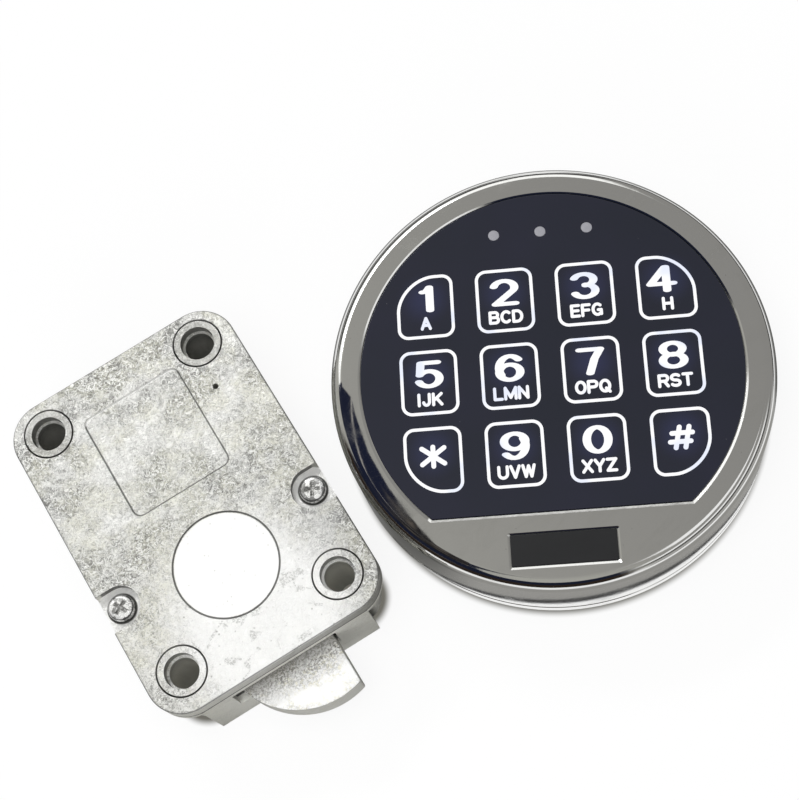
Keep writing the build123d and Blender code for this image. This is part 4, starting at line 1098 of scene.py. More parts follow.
def milky_lens():
    """Grey milky lens, cloudy, with a faint painted glow."""
    material, place = open_finish("milky_indicator_lens", KEYPAD, KEYPAD_TURN)
    cloud = place.noise(0.8, 3)
    colour = cloud.tint((0.20, 0.20, 0.22), (0.26, 0.26, 0.28))
    # painted light: a faint glow evens out the shade on the lens
    light = cloud.tint((0.07, 0.07, 0.08), (0.09, 0.09, 0.10))
    return close_finish(material, colour, cloud * 0.1 + 0.45, 0.0, cloud, 0.01,
                        **{"Emission Color": light, "Emission Strength": 1.0})


def lit_print():
    """White print, lit from behind, here and there a cooler shade."""
    material, place = open_finish("lit_key_print", KEYPAD, KEYPAD_TURN)
    cool = place.noise(9, 2, 0.5).step(0.52, 0.66)
    light = cool.tint((0.99, 0.99, 1.0), (0.80, 0.84, 0.96))
    return close_finish(material, (0.03, 0.03, 0.04), place.noise(2, 2) * 0.1 + 0.3, 0.0,
                        **{"Emission Color": light, "Emission Strength": 1.0})


window_finish = window_plate()
lens_finish = milky_lens()
print_finish = lit_print()

# %% [markdown]
# ## The lock's cover
# On the real lock the cover is a thick zinc casting. Its mouths and rims are never razor sharp.
# A bevel over the whole plate would fail where cuts lie close, so each cutter is turned with its own
# small flare at the mouth, and every cut leaves a softened rim.


# %% Cutters with flared mouths
def flared_cutter(name, radius, low, high, flare, centre=(0, 0), steps=96):
    """A round cutter that widens by a flare just under the face at the height high."""
    profile = [(0, low), (radius, low), (radius, high - flare)]
    profile += [(radius + flare * (1 - math.cos(math.radians(a))), high - flare + flare * math.sin(math.radians(a)))
                for a in (30, 60, 90)]
    profile += [(radius + flare, high + 1.0), (0, high + 1.0), (0, low)]
    cutter = turned(name, profile, steps)
    cutter.data.transform(Matrix.Translation((*centre, 0)))
    return cutter


def bevel_level_edges(piece, height, width, steps):
    """Rounds the edges that lie at one height."""
    edit(piece, "EDGE")
    found = choose("EDGE", lambda e: all(abs(v.co.z - height) < 0.001 for v in e.verts) and e.calc_face_angle(0) > 0.5)
    bpy.ops.mesh.bevel(offset=width, segments=steps, affect="EDGES", profile=0.5)
    leave()
    return found


# %% Cover plate blank
PLATE_CORNER_R = 9.0
PLATE_EDGE = 0.55
cover = block("cover_plate", (cover_low.x, cover_low.y, COVER_UNDER), (cover_high.x, cover_high.y, top))
round_uprights(cover, PLATE_CORNER_R, 20)
eased_edges = bevel_level_edges(cover, top, PLATE_EDGE, 4)
print("plate edges eased", eased_edges)

# %% [markdown]
# Now the cutters are collected: the four boss holes, the pinhole, and for each screw a notch that is open
# to the side, with its screw hole. The notches are mirror images, so one loop makes both.

# %% Round holes and screw notches
BOSS_HOLE_R = 6.0
FLARE = 0.22
PINHOLE_R = 0.65
PINHOLE_PLACE = (19.07, 21.4)
SCREW_HOLE_R = 1.6
SCREW_PLACES = [(side * NOTCH_PLACE[0], -NOTCH_PLACE[1]) for side in (-1, 1)]
NOTCH_OPEN = 8.0
tools = [flared_cutter("boss_hole", BOSS_HOLE_R, COVER_UNDER - 1, top, FLARE, corner) for corner in corners]
tools.append(flared_cutter("pinhole", PINHOLE_R, COVER_UNDER - 1, top, 0.15, PINHOLE_PLACE, 32))
for x, y in SCREW_PLACES:
    side = math.copysign(1, x)
    inner, outer = x - side * NOTCH_R, x + side * NOTCH_OPEN
    notch = block("notch", (min(inner, outer), y - NOTCH_R, NOTCH_FLOOR), (max(inner, outer), y + NOTCH_R, top + 1))
    round_uprights(notch, NOTCH_R - 0.01, 24, lambda e: e.verts[0].co.x * side < NOTCH_PLACE[0])
    bevel_level_edges(notch, NOTCH_FLOOR, 0.4, 3)
    tools += [notch, disc("screw_hole", SCREW_HOLE_R, COVER_UNDER - 1, top, (x, y), 48)]
print("cutters", len(tools))

# %% [markdown]
# The square recess is shallow, and its walls lean outwards as a casting's must, or it would stick in the
# mould. The ring mark is a fine groove, turned as a wedge.

# %% Recess and ring groove
RECESS_LEAN = 1.045
recess_low = [middle - size / 2 for middle, size in zip(RECESS_CENTRE, RECESS_SIZE)]
recess_high = [middle + size / 2 for middle, size in zip(RECESS_CENTRE, RECESS_SIZE)]
recess = block("label_recess", (*recess_low, RECESS_FLOOR), (*recess_high, top + 0.4))
round_uprights(recess, RECESS_CORNER, 10)
edit(recess)
choose("VERT", lambda v: v.co.z > top)
bpy.ops.transform.resize(value=(RECESS_LEAN, RECESS_LEAN, 1), center_override=(*RECESS_CENTRE, 0))
leave()
groove_r = RING_R - 0.15
groove_low, groove_high = top - 0.3, top + 0.2
groove_wedge = [(groove_r - 0.34, groove_high), (groove_r - 0.12, groove_low), (groove_r + 0.12, groove_low),
                (groove_r + 0.34, groove_high), (groove_r - 0.34, groove_high)]
groove = turned("ring_groove", groove_wedge, 128)
groove.data.transform(Matrix.Translation((0, RING_Y, 0)))
tools += [recess, groove]
print("recess", [round(v, 2) for v in (*recess_low, *recess_high)], "ring groove radius", groove_r)

# %% [markdown]
# Under the plate a round boss holds the bolt's pin. It would stand in the way of the case's front wall,
# so it is sliced off flat there. It is welded on first, and all cutters follow in one go.

# %% Pivot boss and finished cover
PIVOT = (6.8, -36.8)
PIVOT_BOSS_R = 5.0
PIN_HOLE_R = 3.05
FRONT_WALL_Y = -40.5
tools.append(disc("pin_socket", PIN_HOLE_R, COVER_UNDER - 4, COVER_UNDER + 1.8, PIVOT, 64))
pivot_boss = disc("pivot_boss", PIVOT_BOSS_R, cover_low.z, COVER_UNDER + 0.5, PIVOT, 96)
edit(pivot_boss)
bpy.ops.mesh.select_all(action="SELECT")
bpy.ops.mesh.bisect(plane_co=(0, FRONT_WALL_Y, 0), plane_no=(0, -1, 0), clear_outer=True, use_fill=True)
leave()
weld(cover, pivot_boss)
cut(cover, *tools)
smooth(cover, 35)
complete(cover, cover_finish, "cast_zinc", "lock_and_base", "case_cover")

# %% [markdown]
# ## The lock's case
# The case is one deep casting. Its shape in the frame is right, but its edges are razor sharp.
# A copy is merged, its flat faces are joined up again, and its edges are eased by a small bevel,
# just as tumbling would do it.


# %% Eased copies
def eased_copy(name, node, width, steps=2):
    """A copy of a part of the frame, in millimetres, with its sharp edges eased."""
    piece = frame["nodes"][node].copy()
    piece.data = piece.data.copy()
    for key in list(piece.keys()):
        del piece[key]
    bpy.context.collection.objects.link(piece)
    piece.parent = None
    piece.matrix_world = Matrix.Identity(4)
    piece.hide_render = False
    piece.name = piece.data.name = name
    piece.data.transform(Matrix.Scale(1 / MM, 4))
    edit(piece)
    bpy.ops.mesh.select_all(action="SELECT")
    bpy.ops.mesh.remove_doubles(threshold=0.002)
    bpy.ops.mesh.dissolve_limited(angle_limit=math.radians(0.5))
    leave()
    if width:
        soften(piece, width, steps, 35)
    return smooth(piece, 30)


complete(eased_copy("cast_case", "lock_case", 0.15), case_finish, "cast_zinc", "lock_and_base", "lock_case")

# %% [markdown]
# ## Cover screws
# Two pan-headed screws with a cross recess sit in the notches. The head is turned, and the cross is
# cut by two crossed wedges that narrow towards the bottom, as the driver's tip does.


# %% Screws
def cross_cutter(name, arm, width, low, high):
    """Two crossed wedges, narrower at the bottom."""
    wedges = []
    for size in ((arm, width), (width, arm)):
        wedge = block(name, (-size[0], -size[1], low), (size[0], size[1], high))
        edit(wedge)
        choose("VERT", lambda v: v.co.z < (low + high) / 2)
        bpy.ops.transform.resize(value=(0.55, 0.55, 1), center_override=(0, 0, 0))
        leave()
        wedges.append(wedge)
    return wedges


def pan_screw(name, head_r, head, shank_r, reach):
    """A pan-headed screw that stands on z = 0, head up, its thread cut as fine rings."""
    pitch = 0.5
    edge = head * 0.55
    profile = [(0, -reach), (shank_r * 0.6, -reach)]
    height = -reach + 0.5
    while height < -0.6:
        profile += [(shank_r, height), (shank_r - 0.22, height + pitch / 2)]
        height += pitch
    profile += [(shank_r, -0.3), (shank_r, 0), (head_r - 0.12, 0), (head_r, 0.12)]
    profile += [(head_r, head - edge)]
    profile += [(head_r - edge + edge * math.cos(math.radians(a)), head - edge + edge * math.sin(math.radians(a)))
                for a in (20, 40, 60, 80)]
    profile += [(head_r * 0.35, head), (0, head), (0, -reach)]
    screw = turned(name, profile, 64)
    cut(screw, *cross_cutter("cross", head_r * 0.66, head_r * 0.17, head - head_r * 0.42, head + 0.3))
    return smooth(screw, 35)


def copies(piece, places):
    """One object made of a piece and its copies, moved to their places."""
    moved = []
    for place in places:
        twin = piece.copy()
        twin.data = piece.data.copy()
        bpy.context.collection.objects.link(twin)
        twin.data.transform(place)
        moved.append(twin)
    name = piece.name
    bpy.data.objects.remove(piece)
    return join(name, moved)


def turned_to(x, y, z, angle):
    """A place and a turn about the upright, in degrees."""
    return Matrix.Translation((x, y, z)) @ Matrix.Rotation(math.radians(angle), 4, "Z")


SCREW_SHANK_R = 1.5
CROSS_TURNS = (28, 62)
screw_reach = NOTCH_FLOOR - box("cover_screws")[0].z
cover_screw = pan_screw("cover_screw_pair", SCREW_HEAD_R, SCREW_HEAD, SCREW_SHANK_R, screw_reach)
placed = [turned_to(x, y, NOTCH_FLOOR, turn) for (x, y), turn in zip(SCREW_PLACES, CROSS_TURNS)]
complete(copies(cover_screw, placed), screw_finish, "steel", "lock_and_base", "cover_screws")

# %% [markdown]
# ## The D-shaped bolt
# The bolt swings out through the front wall. Its straight face takes the load, its round face lets it
# turn back in, and behind the pin a cam rises steadily to push the locking plate. The outline is laid
# down as a ring of points and pulled to shape, then filled and raised.


# %% Outlines raised to plates
def bow(x, y, rx, ry, start, end, steps=None):
    """Points on an oval arc between two angles in degrees."""
    steps = steps or max(2, round(abs(end - start) / 12))
    angles = [math.radians(start + (end - start) * step / steps) for step in range(steps + 1)]
    return [(x + rx * math.cos(a), y + ry * math.sin(a)) for a in angles]


def outline_plate(name, points, low, high):
    """A ring of points pulled to an outline, filled and raised."""
    bpy.ops.object.select_all(action="DESELECT")
    bpy.ops.mesh.primitive_circle_add(vertices=len(points), radius=1, fill_type="NOTHING")
    piece = newest(name)
    for vertex, (x, y) in zip(piece.data.vertices, points):
        vertex.co = (x, y, low)
    edit(piece)
    bpy.ops.mesh.select_all(action="SELECT")
    bpy.ops.mesh.edge_face_add()
    bpy.ops.mesh.extrude_region_move(TRANSFORM_OT_translate={"value": (0, 0, high - low)})
    bpy.ops.mesh.select_all(action="SELECT")
    bpy.ops.mesh.normals_make_consistent(inside=False)
    leave()
    return piece


# %% Bolt
BOLT_R = 19.4
STRIKE = 5.6
CAM_RISE = 6.0
CAM_STEPS = 12
ROOT = -3.2
heel_angle = 180 + math.degrees(math.asin(-ROOT / BOLT_R))
tip_angle = 360 - math.degrees(math.acos(STRIKE / BOLT_R))
outline = [(STRIKE, 0)] + bow(0, 0, STRIKE, STRIKE, 0, 90, 12)[1:]
for step in range(1, CAM_STEPS + 1):
    angle = math.radians(90 + 90 * step / CAM_STEPS)
    radius = STRIKE + CAM_RISE * step / CAM_STEPS
    outline.append((radius * math.cos(angle), radius * math.sin(angle)))
outline += [(-STRIKE - CAM_RISE, ROOT)] + bow(0, 0, BOLT_R, BOLT_R, heel_angle, tip_angle, 60)
bolt = outline_plate("d_bolt", outline, bolt_low.z, bolt_high.z)
bolt.data.transform(Matrix.Translation((*PIVOT, 0)))
soften(bolt, 0.4, 3, 50)
cut(bolt, disc("pin_hole", PIN_HOLE_R, bolt_low.z - 1, bolt_high.z + 1, PIVOT, 64))
smooth(bolt, 35)
complete(bolt, bolt_finish, "bolt_metal", "bolt", "swing_bolt")

# %% [markdown]
# ## Plate springs
# The frame draws each spring as a sleeve. A real one is a wire wound in a helix, so a small ring is
# run up a screw path and laid down along the case.

# %% Springs
SPRING_TURNS = 11
COIL_STEPS = 24 * SPRING_TURNS
SPRING_SIDE = 5.6
WIRE_R = 0.25
spring_low, spring_high = box("plate_springs")
COIL_R = (spring_high.z - spring_low.z) / 2 - WIRE_R
spring_length = spring_high.y - spring_low.y - 2 * WIRE_R
bpy.ops.object.select_all(action="DESELECT")
bpy.ops.mesh.primitive_circle_add(vertices=10, radius=WIRE_R, location=(COIL_R, 0, 0),
                                  rotation=(math.radians(90), 0, 0))
spring = newest("plate_spring_pair")
apply_modifier(spring, "SCREW", angle=math.tau * SPRING_TURNS, screw_offset=spring_length,
               steps=COIL_STEPS, render_steps=COIL_STEPS, use_merge_vertices=False)
edit(spring)
choose("EDGE", lambda e: e.is_boundary)
bpy.ops.mesh.edge_face_add()
bpy.ops.mesh.select_all(action="SELECT")
bpy.ops.mesh.normals_make_consistent(inside=False)
leave()
lying = Matrix.Rotation(math.radians(-90), 4, "X")
middle_z = (spring_low.z + spring_high.z) / 2
low_y = spring_low.y + WIRE_R
places = [Matrix.Translation((PIVOT[0] + side * SPRING_SIDE, low_y, middle_z)) @ lying for side in (-1, 1)]
spring = copies(spring, places)
smooth(spring, 60)
complete(spring, spring_finish, "steel", "lock_and_base", "plate_springs")
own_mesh(spring)

# %% [markdown]
# ## The chromed housing
# The keypad's shell is turned as one profile: a skirt with a thin groove, a round shoulder and a flat
# face. A lathe gives the real one its first shape too, so the profile is spun rather than carved.

# %% Turned shell
HEAD_TOP = head_high.z
SKIRT_LOW = head_low.z
SHOULDER_R = 3.0
WALL = 2.8
FACE_LOW = HEAD_TOP - 3.1
GROOVE_LOW, GROOVE_HIGH, GROOVE_DEEP = 6.4, 7.2, 0.5
FOOT_BEVEL = 0.3
GROOVE_BEVEL = 0.12
bore_r = HEAD_R - WALL
groove_bottom_r = HEAD_R - GROOVE_DEEP
skirt = [(bore_r, SKIRT_LOW), (HEAD_R - FOOT_BEVEL, SKIRT_LOW), (HEAD_R, SKIRT_LOW + FOOT_BEVEL),
         (HEAD_R, GROOVE_LOW - GROOVE_BEVEL), (HEAD_R - GROOVE_BEVEL, GROOVE_LOW),
         (groove_bottom_r, GROOVE_LOW + 0.1), (groove_bottom_r, GROOVE_HIGH - 0.1),
         (HEAD_R - GROOVE_BEVEL, GROOVE_HIGH), (HEAD_R, GROOVE_HIGH + GROOVE_BEVEL)]
shoulder = arc((HEAD_R - SHOULDER_R, HEAD_TOP - SHOULDER_R), SHOULDER_R, 0, 90, 16)
closing = [(0, HEAD_TOP), (0, FACE_LOW), (bore_r - 0.6, FACE_LOW), (bore_r, FACE_LOW - 0.6), (bore_r, SKIRT_LOW)]
housing = turned("chrome_shell", skirt + shoulder + closing, 240)
print("shell radius", round(HEAD_R, 2), "mm, height", round(HEAD_TOP - SKIRT_LOW, 2), "mm")

# %% [markdown]
# ## Mouths with a bright chamfer
# Round the panel and the dark plate the real chrome has a fine chamfer, which catches the light as a
# white hairline, brightest along the panel's straight edge and under the plate. A bevel after the cut
# would fail on so many short edges, so each cutter flares out at the face instead. It is widened about
# a centre above its middle, so that the lower edge gets the widest and flattest slope.


# %% Room for the panel and the plate
CHAMFER_DEPTH = 0.24
CHAMFER_WIDE = 0.42
CHORD_CHAMFER = 0.60
PANEL_R = 44.7
PANEL_CHORD = 33.6
PANEL_GAP = 0.2
MOUTH_CENTRE = 16.0
LEDGE = 1.7
WINDOW = (24.4, 7.5)
WINDOW_Y = -42.3
WINDOW_DEPTH = 0.8
WINDOW_SHIFT = 1.0
WINDOW_CORNER = 0.4


def panel_outline(grow, steps=150):
    """The round panel with its lower part cut off straight, grown by a clearance."""
    radius = PANEL_R + grow
    start = -math.degrees(math.asin((PANEL_CHORD + grow) / radius))
    return bow(0, 0, radius, radius, start, 180 - start, steps)


def flare_mouth(tool, grown_x, grown_y, centre):
    """Gives a cutter a shallow slope at the face, so that the mouth it leaves has a bright chamfer."""
    edit(tool)
    choose("FACE", lambda f: f.normal.z > 0.9)
    bpy.ops.mesh.extrude_region_move(TRANSFORM_OT_translate={"value": (0, 0, CHAMFER_DEPTH)})
    bpy.ops.transform.resize(value=(grown_x, grown_y, 1), center_override=centre)
    bpy.ops.mesh.extrude_region_move(TRANSFORM_OT_translate={"value": (0, 0, 1)})
    leave()
    return tool


panel_room = outline_plate("panel_room", panel_outline(PANEL_GAP), panel_low.z, HEAD_TOP - CHAMFER_DEPTH)
flare_mouth(panel_room, 1 + CHAMFER_WIDE / (PANEL_R + PANEL_GAP),
            1 + CHORD_CHAMFER / (PANEL_CHORD + PANEL_GAP + MOUTH_CENTRE), (0, MOUTH_CENTRE, 0))
ledge_room = outline_plate("ledge_room", panel_outline(-LEDGE), FACE_LOW - 1, HEAD_TOP)
window_room = block("window_room", (-WINDOW[0] / 2, WINDOW_Y - WINDOW[1] / 2, HEAD_TOP - WINDOW_DEPTH),
                    (WINDOW[0] / 2, WINDOW_Y + WINDOW[1] / 2, HEAD_TOP - CHAMFER_DEPTH))
round_uprights(window_room, WINDOW_CORNER, 4)
flare_mouth(window_room, 1 + 2 * CHAMFER_WIDE / WINDOW[0],
            1 + CHORD_CHAMFER / (WINDOW[1] / 2 + WINDOW_SHIFT), (0, WINDOW_Y + WINDOW_SHIFT, 0))
cut(housing, panel_room, ledge_room, window_room)
print("panel room radius", PANEL_R + PANEL_GAP, "mm, plate room", WINDOW)

# %% [markdown]
# Two grub screws clamp the head on its base, so the skirt has two radial holes. Inside, four pads with a
# hole each carry the circuit board. The shading's angle is small enough to keep the chamfers crisp.

# %% Grub holes, pads and finished housing
SCREW_ANGLES = (30, 100)
SCREW_HEIGHT = 5.4
GRUB_R = 1.5
PAD_ANGLES = (40, 140, 205, 335)
PAD_R = 2.2
PAD_HOLE_R = 1.15
PAD_LOW = FACE_LOW - 0.8
for angle in SCREW_ANGLES:
    bpy.ops.object.select_all(action="DESELECT")
    bpy.ops.mesh.primitive_cylinder_add(vertices=48, radius=GRUB_R + 0.1, depth=6,
                                        location=(HEAD_R - 1, 0, SCREW_HEIGHT), rotation=(0, math.radians(90), 0))
    cut(housing, spun(newest("grub_hole"), angle))
pad_reach = bore_r - 2.5
for angle in PAD_ANGLES:
    pad_place = (pad_reach * math.cos(math.radians(angle)), pad_reach * math.sin(math.radians(angle)))
    weld(housing, disc("pad", PAD_R, PAD_LOW, FACE_LOW + 0.1, pad_place, 48))
    cut(housing, disc("pad_hole", PAD_HOLE_R, PAD_LOW - 1, PAD_LOW + 3, pad_place, 32))
smooth(housing, 18)
complete(on_keypad(housing), chrome_finish, "chrome", "keypad_head", "keypad_housing")

# %% [markdown]
# ## Panel, dark plate, lenses and grub screws
# The panel is a plate with a fine polished edge, flush with the chrome. The three lenses stand in
# round holes, slightly domed. The grub screws have hexagon sockets.

# %% Panel
LENS_Y = 35.1
LENS_GAP = 0.04
lens_spots = [(step * LENS_SPACING, LENS_Y) for step in (-1, 0, 1)]
panel = outline_plate("lens_panel", panel_outline(0), panel_low.z, HEAD_TOP)
bevel_level_edges(panel, HEAD_TOP, 0.15, 3)
lens_holes = [flared_cutter("lens_hole", LENS_R + LENS_GAP, panel_low.z - 1, HEAD_TOP, 0.08, spot, 48)
              for spot in lens_spots]
cut(panel, *lens_holes)
complete(on_keypad(smooth(panel, 30)), panel_finish, "panel_black", "keypad_head", "touch_panel")

# %% Dark plate and lenses
PANE_GAP = 0.1
PANE_TOP = HEAD_TOP - 0.05
half_wide, half_high = WINDOW[0] / 2 - PANE_GAP, WINDOW[1] / 2 - PANE_GAP
pane = block("dark_pane", (-half_wide, WINDOW_Y - half_high, HEAD_TOP - WINDOW_DEPTH),
             (half_wide, WINDOW_Y + half_high, PANE_TOP))
round_uprights(pane, WINDOW_CORNER - PANE_GAP, 4)
bevel_level_edges(pane, PANE_TOP, 0.15, 2)
complete(on_keypad(smooth(pane, 30)), window_finish, "window_black", "keypad_head", "window_inlay")

dome = [(0, panel_low.z), (LENS_R, panel_low.z), (LENS_R, HEAD_TOP - 0.10), (LENS_R - 0.10, HEAD_TOP - 0.03),
        (LENS_R * 0.5, HEAD_TOP - 0.005), (0, HEAD_TOP), (0, panel_low.z)]
lens = turned("indicator_lens_row", dome, 48)
lens = copies(lens, [Matrix.Translation((x, y, 0)) for x, y in lens_spots])
complete(on_keypad(smooth(lens, 40)), lens_finish, "lens_grey", "keypad_head", "indicator_lenses")

# %% Grub screws
GRUB_BEVEL = 0.25
HEX_R = 0.85
HEX_DEPTH = 1.3
grub_length = WALL - GROOVE_DEEP
grub = turned("grub_screw_pair", [(0, 0), (GRUB_R, 0), (GRUB_R, grub_length - GRUB_BEVEL),
                                  (GRUB_R - GRUB_BEVEL, grub_length), (0, grub_length), (0, 0)], 48)
cut(grub, disc("hex_socket", HEX_R, grub_length - HEX_DEPTH, grub_length + 1, (0, 0), 6))
outward = [Matrix.Rotation(math.radians(angle), 4, "Z") @ Matrix.Translation((bore_r, 0, SCREW_HEIGHT))
           @ Matrix.Rotation(math.radians(90), 4, "Y") for angle in SCREW_ANGLES]
grub = copies(grub, outward)
complete(on_keypad(smooth(grub, 35)), screw_finish, "steel", "keypad_head", "clamp_screws")

# %% [markdown]
# ## The lit keys
# Each key is an outline with a digit and a few letters, printed clear in the dark lens and lit from
# behind. Blender's own letters don't have this shape, so each one is drawn with a pen: an oval nib
# is run along lines and bows, and the strokes of a letter are welded into one. Paths lie on a grid that
# runs from -1 to 1 both ways, so one alphabet serves the tall digits and the small letters.


# %% The pen
def stroke(name, path, half_wide, half_high, nib_x, nib_y, thick, base):
    """One pen stroke as a flat slab: a path on a grid from -1 to 1, drawn with an oval nib."""
    stretch = nib_x / nib_y
    line = [Vector((x * (half_wide - nib_x) / stretch, y * (half_high - nib_y))) for x, y in path]
    line = [p for i, p in enumerate(line) if i == 0 or (p - line[i - 1]).length > 0.01]
    ways = []
    for i in range(len(line)):
        ahead = line[min(i + 1, len(line) - 1)] - line[max(i - 1, 0)]
        ways.append(math.atan2(ahead.y, ahead.x))
    quarter = math.pi / 2

    def at_nib(point, way):
        """The edge of the nib at a point, in one direction."""
        return point + nib_y * Vector((math.cos(way), math.sin(way)))

    left = [at_nib(point, way + quarter) for point, way in zip(line, ways)]
    right = [at_nib(point, way - quarter) for point, way in zip(line, ways)]
    cap = [step * math.pi / 8 for step in range(1, 8)]
    end = [at_nib(line[-1], ways[-1] + quarter - turn) for turn in cap]
    start = [at_nib(line[0], ways[0] - quarter - turn) for turn in cap]
    ring = left + end + right[::-1] + start
    return outline_plate(name, [(p.x * stretch, p.y) for p in ring], base, base + thick)


# %% The alphabet
STEM = [(-1, 1), (-1, -1)]
BAR = [(-1, 0), (1, 0)]
RING_TOP = bow(0, 0, 1, 1, -4, 184)
RING_LOW = bow(0, 0, 1, 1, 176, 364)
P_BOWL = [(-1, 1)] + bow(0.25, 0.47, 0.75, 0.53, 90, -90) + [(-1, -0.06)]
SIX_BACK = bow(0.08, 0, 1.08, 1, 42, 215)
SIX_BOWL = [bow(0, -0.36, 1, 0.64, -4, 184), bow(0, -0.36, 1, 0.64, 176, 364)]
GLYPHS = {
    "0": [RING_TOP, RING_LOW],
    "1": [[(0.3, 1), (0.3, -1)], [(-0.9, 0.62), (-0.35, 0.66), (0.1, 0.86), (0.3, 1)]],
    "2": [bow(0, 0.42, 1, 0.58, 168, -28) + [(-0.9, -1)], [(-0.9, -1), (1, -1)]],
    "3": [bow(-0.05, 0.5, 0.95, 0.5, 160, -80), bow(0, -0.46, 1, 0.54, 84, -160)],
    "4": [[(0.35, 1), (-1, -0.42)], [(-1, -0.42), (1, -0.42)], [(0.42, 1), (0.42, -1)]],
    "5": [[(-0.75, 1), (0.85, 1)], [(-0.75, 1), (-0.85, 0.08)], bow(-0.02, -0.36, 1.02, 0.64, 148, -160)],
    "6": [SIX_BACK] + SIX_BOWL,
    "7": [[(-1, 1), (0.95, 1)], [(0.95, 1), (0.35, 0.2), (-0.15, -1)]],
    "8": [bow(0, 0.5, 0.92, 0.5, -4, 184), bow(0, 0.5, 0.92, 0.5, 176, 364),
          bow(0, -0.47, 1, 0.53, -4, 184), bow(0, -0.47, 1, 0.53, 176, 364)],
    "9": [[(-x, -y) for x, y in path] for path in [SIX_BACK] + SIX_BOWL],
    "*": [[(0, 0.9), (0, -1)], [(-1, 0.78), (1, -0.78)], [(-1, -0.78), (1, 0.78)]],
    "#": [[(-0.55, -1), (-0.1, 1)], [(0.3, -1), (0.75, 1)], [(-1, -0.42), (0.8, -0.42)], [(-0.8, 0.42), (1, 0.42)]],
    "A": [[(-1, -1), (0, 1)], [(0, 1), (1, -1)], [(-0.55, -0.35), (0.55, -0.35)]],
    "B": [STEM, [(-1, 1)] + bow(0.2, 0.52, 0.65, 0.48, 90, -90) + [(-1, 0.04)],
          [(-1, 0.04)] + bow(0.25, -0.48, 0.75, 0.52, 90, -90) + [(-1, -1)]],
    "C": [bow(0.08, 0, 1.08, 1, 48, 312)],
    "D": [STEM, [(-1, 1)] + bow(-0.1, 0, 1.1, 1, 90, -90) + [(-1, -1)]],
    "E": [STEM, [(-1, 1), (0.95, 1)], [(-1, 0.02), (0.75, 0.02)], [(-1, -1), (1, -1)]],
    "F": [STEM, [(-1, 1), (1, 1)], [(-1, 0.0), (0.75, 0.0)]],
    "G": [bow(0.05, 0, 1.05, 1, 48, 318), [(0.95, -0.1), (0.95, -0.9)], [(0.25, -0.1), (0.95, -0.1)]],
    "H": [STEM, BAR, [(1, 1), (1, -1)]],
    "I": [[(0, 1), (0, -1)]],
    "J": [[(0.85, 1)] + bow(0, -0.3, 0.85, 0.7, 0, -165)],
    "K": [STEM, [(0.95, 1), (-0.9, -0.2)], [(-0.2, 0.15), (1, -1)]],
    "L": [STEM, [(-1, -1), (1, -1)]],
    "M": [STEM, [(-1, 1), (0, -0.8)], [(0, -0.8), (1, 1)], [(1, 1), (1, -1)]],
    "N": [STEM, [(-1, 1), (1, -1)], [(1, 1), (1, -1)]],
    "O": [RING_TOP, RING_LOW],
    "P": [STEM, P_BOWL],
    "Q": [RING_TOP, RING_LOW, [(0.25, -0.45), (1, -1.1)]],
    "R": [STEM, P_BOWL, [(0.15, -0.06), (1, -1)]],
    "S": [bow(0, 0.5, 0.95, 0.5, 35, 265) + bow(0, -0.5, 1, 0.5, 84, -148)],
    "T": [[(-1, 1), (1, 1)], [(0, 1), (0, -1)]],
    "U": [[(-1, 1)] + bow(0, -0.25, 1, 0.75, 180, 360) + [(1, 1)]],
    "V": [[(-1, 1), (0, -1)], [(0, -1), (1, 1)]],
    "W": [[(-1, 1), (-0.5, -1)], [(-0.5, -1), (0, 0.9)], [(0, 0.9), (0.5, -1)], [(0.5, -1), (1, 1)]],
    "X": [[(-1, 1), (1, -1)], [(-1, -1), (1, 1)]],
    "Y": [[(-1, 1), (0, -0.1)], [(1, 1), (0, -0.1)], [(0, -0.1), (0, -1)]],
    "Z": [[(-1, 1), (1, 1)], [(1, 1), (-1, -1)], [(-1, -1), (1, -1)]],
}
print("alphabet", len(GLYPHS), "signs,", sum(len(paths) for paths in GLYPHS.values()), "strokes")

# %% One sign
PRINT_BASE = HEAD_TOP - 0.01
PRINT_THICK = 0.05


def glyph(sign, centre, wide, high, nib):
    """One digit or letter, its strokes welded."""
    strokes = [stroke("stroke", path, wide / 2, high / 2, *nib, PRINT_THICK, PRINT_BASE) for path in GLYPHS[sign]]
    made = weld(strokes[0], *strokes[1:])
    made.data.transform(Matrix.Translation((*centre, 0)))
    return made


# %% [markdown]
# The outlines start as one rectangle each. Bevelled corners round it, an inset makes the line, and
# the middle is taken out. The corner keys have one long corner that follows the round panel.

# %% Key outlines
KEY_WIDE = 13.6
KEY_HIGH = 15.9
LINE = 0.74
CORNER_R = 2.6
LONG_CORNER = 9.0
LONG_PROFILE = 0.47
CORNER_REACH = 0.01


